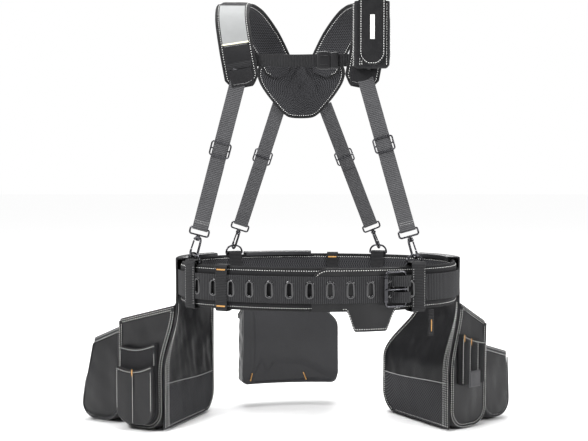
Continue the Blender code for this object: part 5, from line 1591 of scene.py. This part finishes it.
u = np.linspace(0, 1, 90)[:, None]
low = 0.058 + round_end(0.020, np.minimum(u, 1 - u) * 0.21)
z = low + (PAD_Z1 + 0.0026 - low) * np.linspace(0, 1, 80)[None]
U = u + 0 * z
B, N = bk_base(U, z), bk_out(U, z)
curl_top = 0.082 + 0.040 * np.exp(-((U - 0.80) / 0.055) ** 2)
curl_top = curl_top + 0.034 * smooth((0.76 - U) / 0.10) * smooth(U / 0.4)
curl = smooth((curl_top - z) / 0.030) * 0.0050 * smooth((z - 0.050) / 0.02)
folds = 0.0010 * np.exp(-((U - 0.86) / 0.010) ** 2) - 0.0012 * np.exp(-((U - 0.895) / 0.012) ** 2)
sway = (0.0012 * wavy(B * [1, 1, 0.30], 0.070, 81) + folds) * smooth((0.290 - z) / 0.04) + curl
face, back = folded_skins(B, N, sway, bk_base(u, 0 * u + 0.35), bk_out(u, 0 * u + 0.35))
shell("back_sheet", face, back, HIDE_SMOOTH, "back_pouch", "black_leather", stands_for="back_pouch_panel")
bag("back_bag", lambda u, v, z: bk_place(0.02 + 0.96 * u, v, z), bk_rim, 0.2016, 0.052, 0.052, HIDE_SMOOTH,
    "back_pouch", "black_leather", "back_pouch_bag", corner=0.012, rows=36, crease=0.0020, bulge=0.002,
    seed=83)
z = np.linspace(0.064, 0.235, 60)
runs = []
for u0 in (0.020, 0.036, 0.980, 0.964):
    q = np.full(60, u0)
    runs.append((bk_base(q, z) + bk_out(q, z) * 0.0022, bk_out(q, z)))
seams("back_pouch_stitches", runs, GREY_THREAD, "back_pouch", "black_leather")
q = np.linspace(0, 1, 50)
u = np.concatenate([0.02 + 0 * q, np.linspace(0.02, 0.98, 70)[1:-1], 0.98 + 0 * q])
v = np.concatenate([0.06 + 0.92 * q, np.ones(68), 0.06 + 0.92 * q[::-1]])
P = resample(bk_place(u, v, bk_rim(u, v)), count=160)
out = rim_tape("back_rim_tape", P, bk_place(np.array([0.5]), np.array([0.4]), np.array([0.22])), 0.0040,
               slab(0.0042, 0.0110, 8, 0.0019), TAPE, "back_pouch", "black_fabric")
seams("back_rim_stitches", [(P + out * 0.0010 - UP * 0.0075, out)], WHITE_THREAD, "back_pouch",
      "black_fabric")
tacks = []
for u0, z0, lean in ((0.905, 0.072, 0.25), (0.345, 0.070, -0.4)):
    c, n = bk_base(np.array(u0), np.array(z0)), bk_out(np.array(u0), np.array(z0))
    tacks.append((c - n * 0.0022, UP + np.array([lean, 0, 0]), -n))
bartacks("back_bartacks", tacks, "back_pouch", "black_leather", length=0.017, width=0.0028)
print("back pouch made")

# %% Hanging tab
s0 = at_angle(29.5)
n = belt_out(s0)
top = on_belt(s0, -0.004, PAD_Z0 - 0.0035)
q = np.linspace(0, 1, 40)
band("tab_webbing", top - UP * 0.050 * q[:, None] + n * (0.0006 * np.sin(q * 5))[:, None], n, belt_along(s0),
     slab(0.0030, 0.013, 8, 0.0012), DARK_WEB, "tab", "grey_webbing", stands_for="hanging_tab")
bartacks("tab_bartack", [(top - UP * 0.030 + n * 0.0018, UP, n)], "tab", "grey_webbing", length=0.022,
         width=0.0026)
print("pouches made")

# %% [markdown]
# ## Phone pouch
# A cloth box on the right pad with a leather flap. The flap swings on its upper
# edge, so it is its own piece on its own body.

# %% Phone pouch
PX0, PX1, PY, PD = 0.064, 0.130, -0.0945, 0.026      # sides, back, depth
PZ0, PZ1 = 0.7185, 0.8420                            # floor, rim


def ph_place(u, v, z):
    """Loop position in the rig: a plain box in front of the right pad."""
    return stack(PX0 + (PX1 - PX0) * u, PY - PD * v, z)


bag("phone_box", ph_place, lambda u, v: PZ1 + 0 * u, PX1 - PX0, PD, PZ0, CLOTH_FINE, "root", "black_fabric",
    "phone_pouch", wall=0.0018, fold=0.006, corner=0.005, rows=36, crease=0.0006, bulge=0.0008, seed=91, n=20)
z = np.linspace(PZ0 + 0.004, PZ1 - 0.006, 60)
runs = [(stack(x, PY - PD - 0.0012, z), (0, -1.0, 0)) for x in (PX0 + 0.010, PX0 + 0.0138, PX1 - 0.006)]
for x, sgn in ((PX0, -1.0), (PX1, 1.0)):
    runs += [(stack(x + sgn * 0.0012, y, z), (sgn, 0, 0)) for y in (PY - 0.005, PY - PD + 0.004)]
seams("phone_stitches", runs, WHITE_THREAD, "root", "black_fabric", 0.0046, 0.0017, 0.0005)
print("phone pouch made")

# %% Phone flap
FLAP_HALF, ROUND_FROM = 0.025, 0.098      # half width, and how far down its rounded end begins
ROW_IN = 0.0036
hinge = np.array([0.097, PY + 0.0035, PZ1 + 0.0030])
keys = np.array([(0, 0.0, 0.0), (0, -0.0030, 0.0012), (0, -0.0270, 0.0014), (0, -0.0312, 0.0004),
                 (0, -0.0325, -0.0040), (0, -0.0326, -0.0300), (0, -0.0327, -0.0600), (0, -0.0326, -0.0900),
                 (0, -0.0325, -0.1230)])
line = resample(curve(keys, 400), count=110)
below = np.clip(-line[:, 2] - ROUND_FROM, 0, FLAP_HALF)
half = np.where(below > 0, np.sqrt(np.clip(FLAP_HALF ** 2 - below ** 2, 0.0008 ** 2, 1)), FLAP_HALF)
N = unit(np.cross(tangents(line), [1.0, 0, 0]))
N = N if N[60][1] < 0 else -N
v = np.linspace(-1, 1, 26)
sheet = (hinge + line)[:, None] + stack(half[:, None] * v[None], 0, 0)
crown = 0.0005 * (1 - v[None] ** 2)
shell("flap_hide", sheet + N[:, None] * (0.0011 + crown)[..., None], sheet - N[:, None] * 0.0011, HIDE,
      "flap", "black_leather", stands_for="phone_flap")
k = (line[:, 2] > ROW_IN - 0.123) & (np.arange(110) > 16)
inner = FLAP_HALF - ROW_IN
h = stack(np.where(below > 0, np.sqrt(np.clip(inner ** 2 - below ** 2, 0, 1)), inner), 0, 0)
row = hinge + line + N * 0.0014
round_trip = np.concatenate([(row - h)[k], (row + h)[k][::-1]])
seams("flap_stitches", [(round_trip, np.concatenate([N[k], N[k][::-1]]))], WHITE_THREAD, "flap",
      "black_leather", 0.0046, 0.0018, 0.0005)
a, b = np.meshgrid(np.linspace(-1, 1, 10), np.linspace(-1, 1, 30), indexing="ij")
card = hinge + [0, -0.0325 - 0.0017, -0.052] + stack(0.0042 * a, 0, 0.0225 * b)
shell("flap_label", card - [0, 0.0007, 0], card + [0, 0.0006, 0], LABEL, "flap", "reflective_tape")
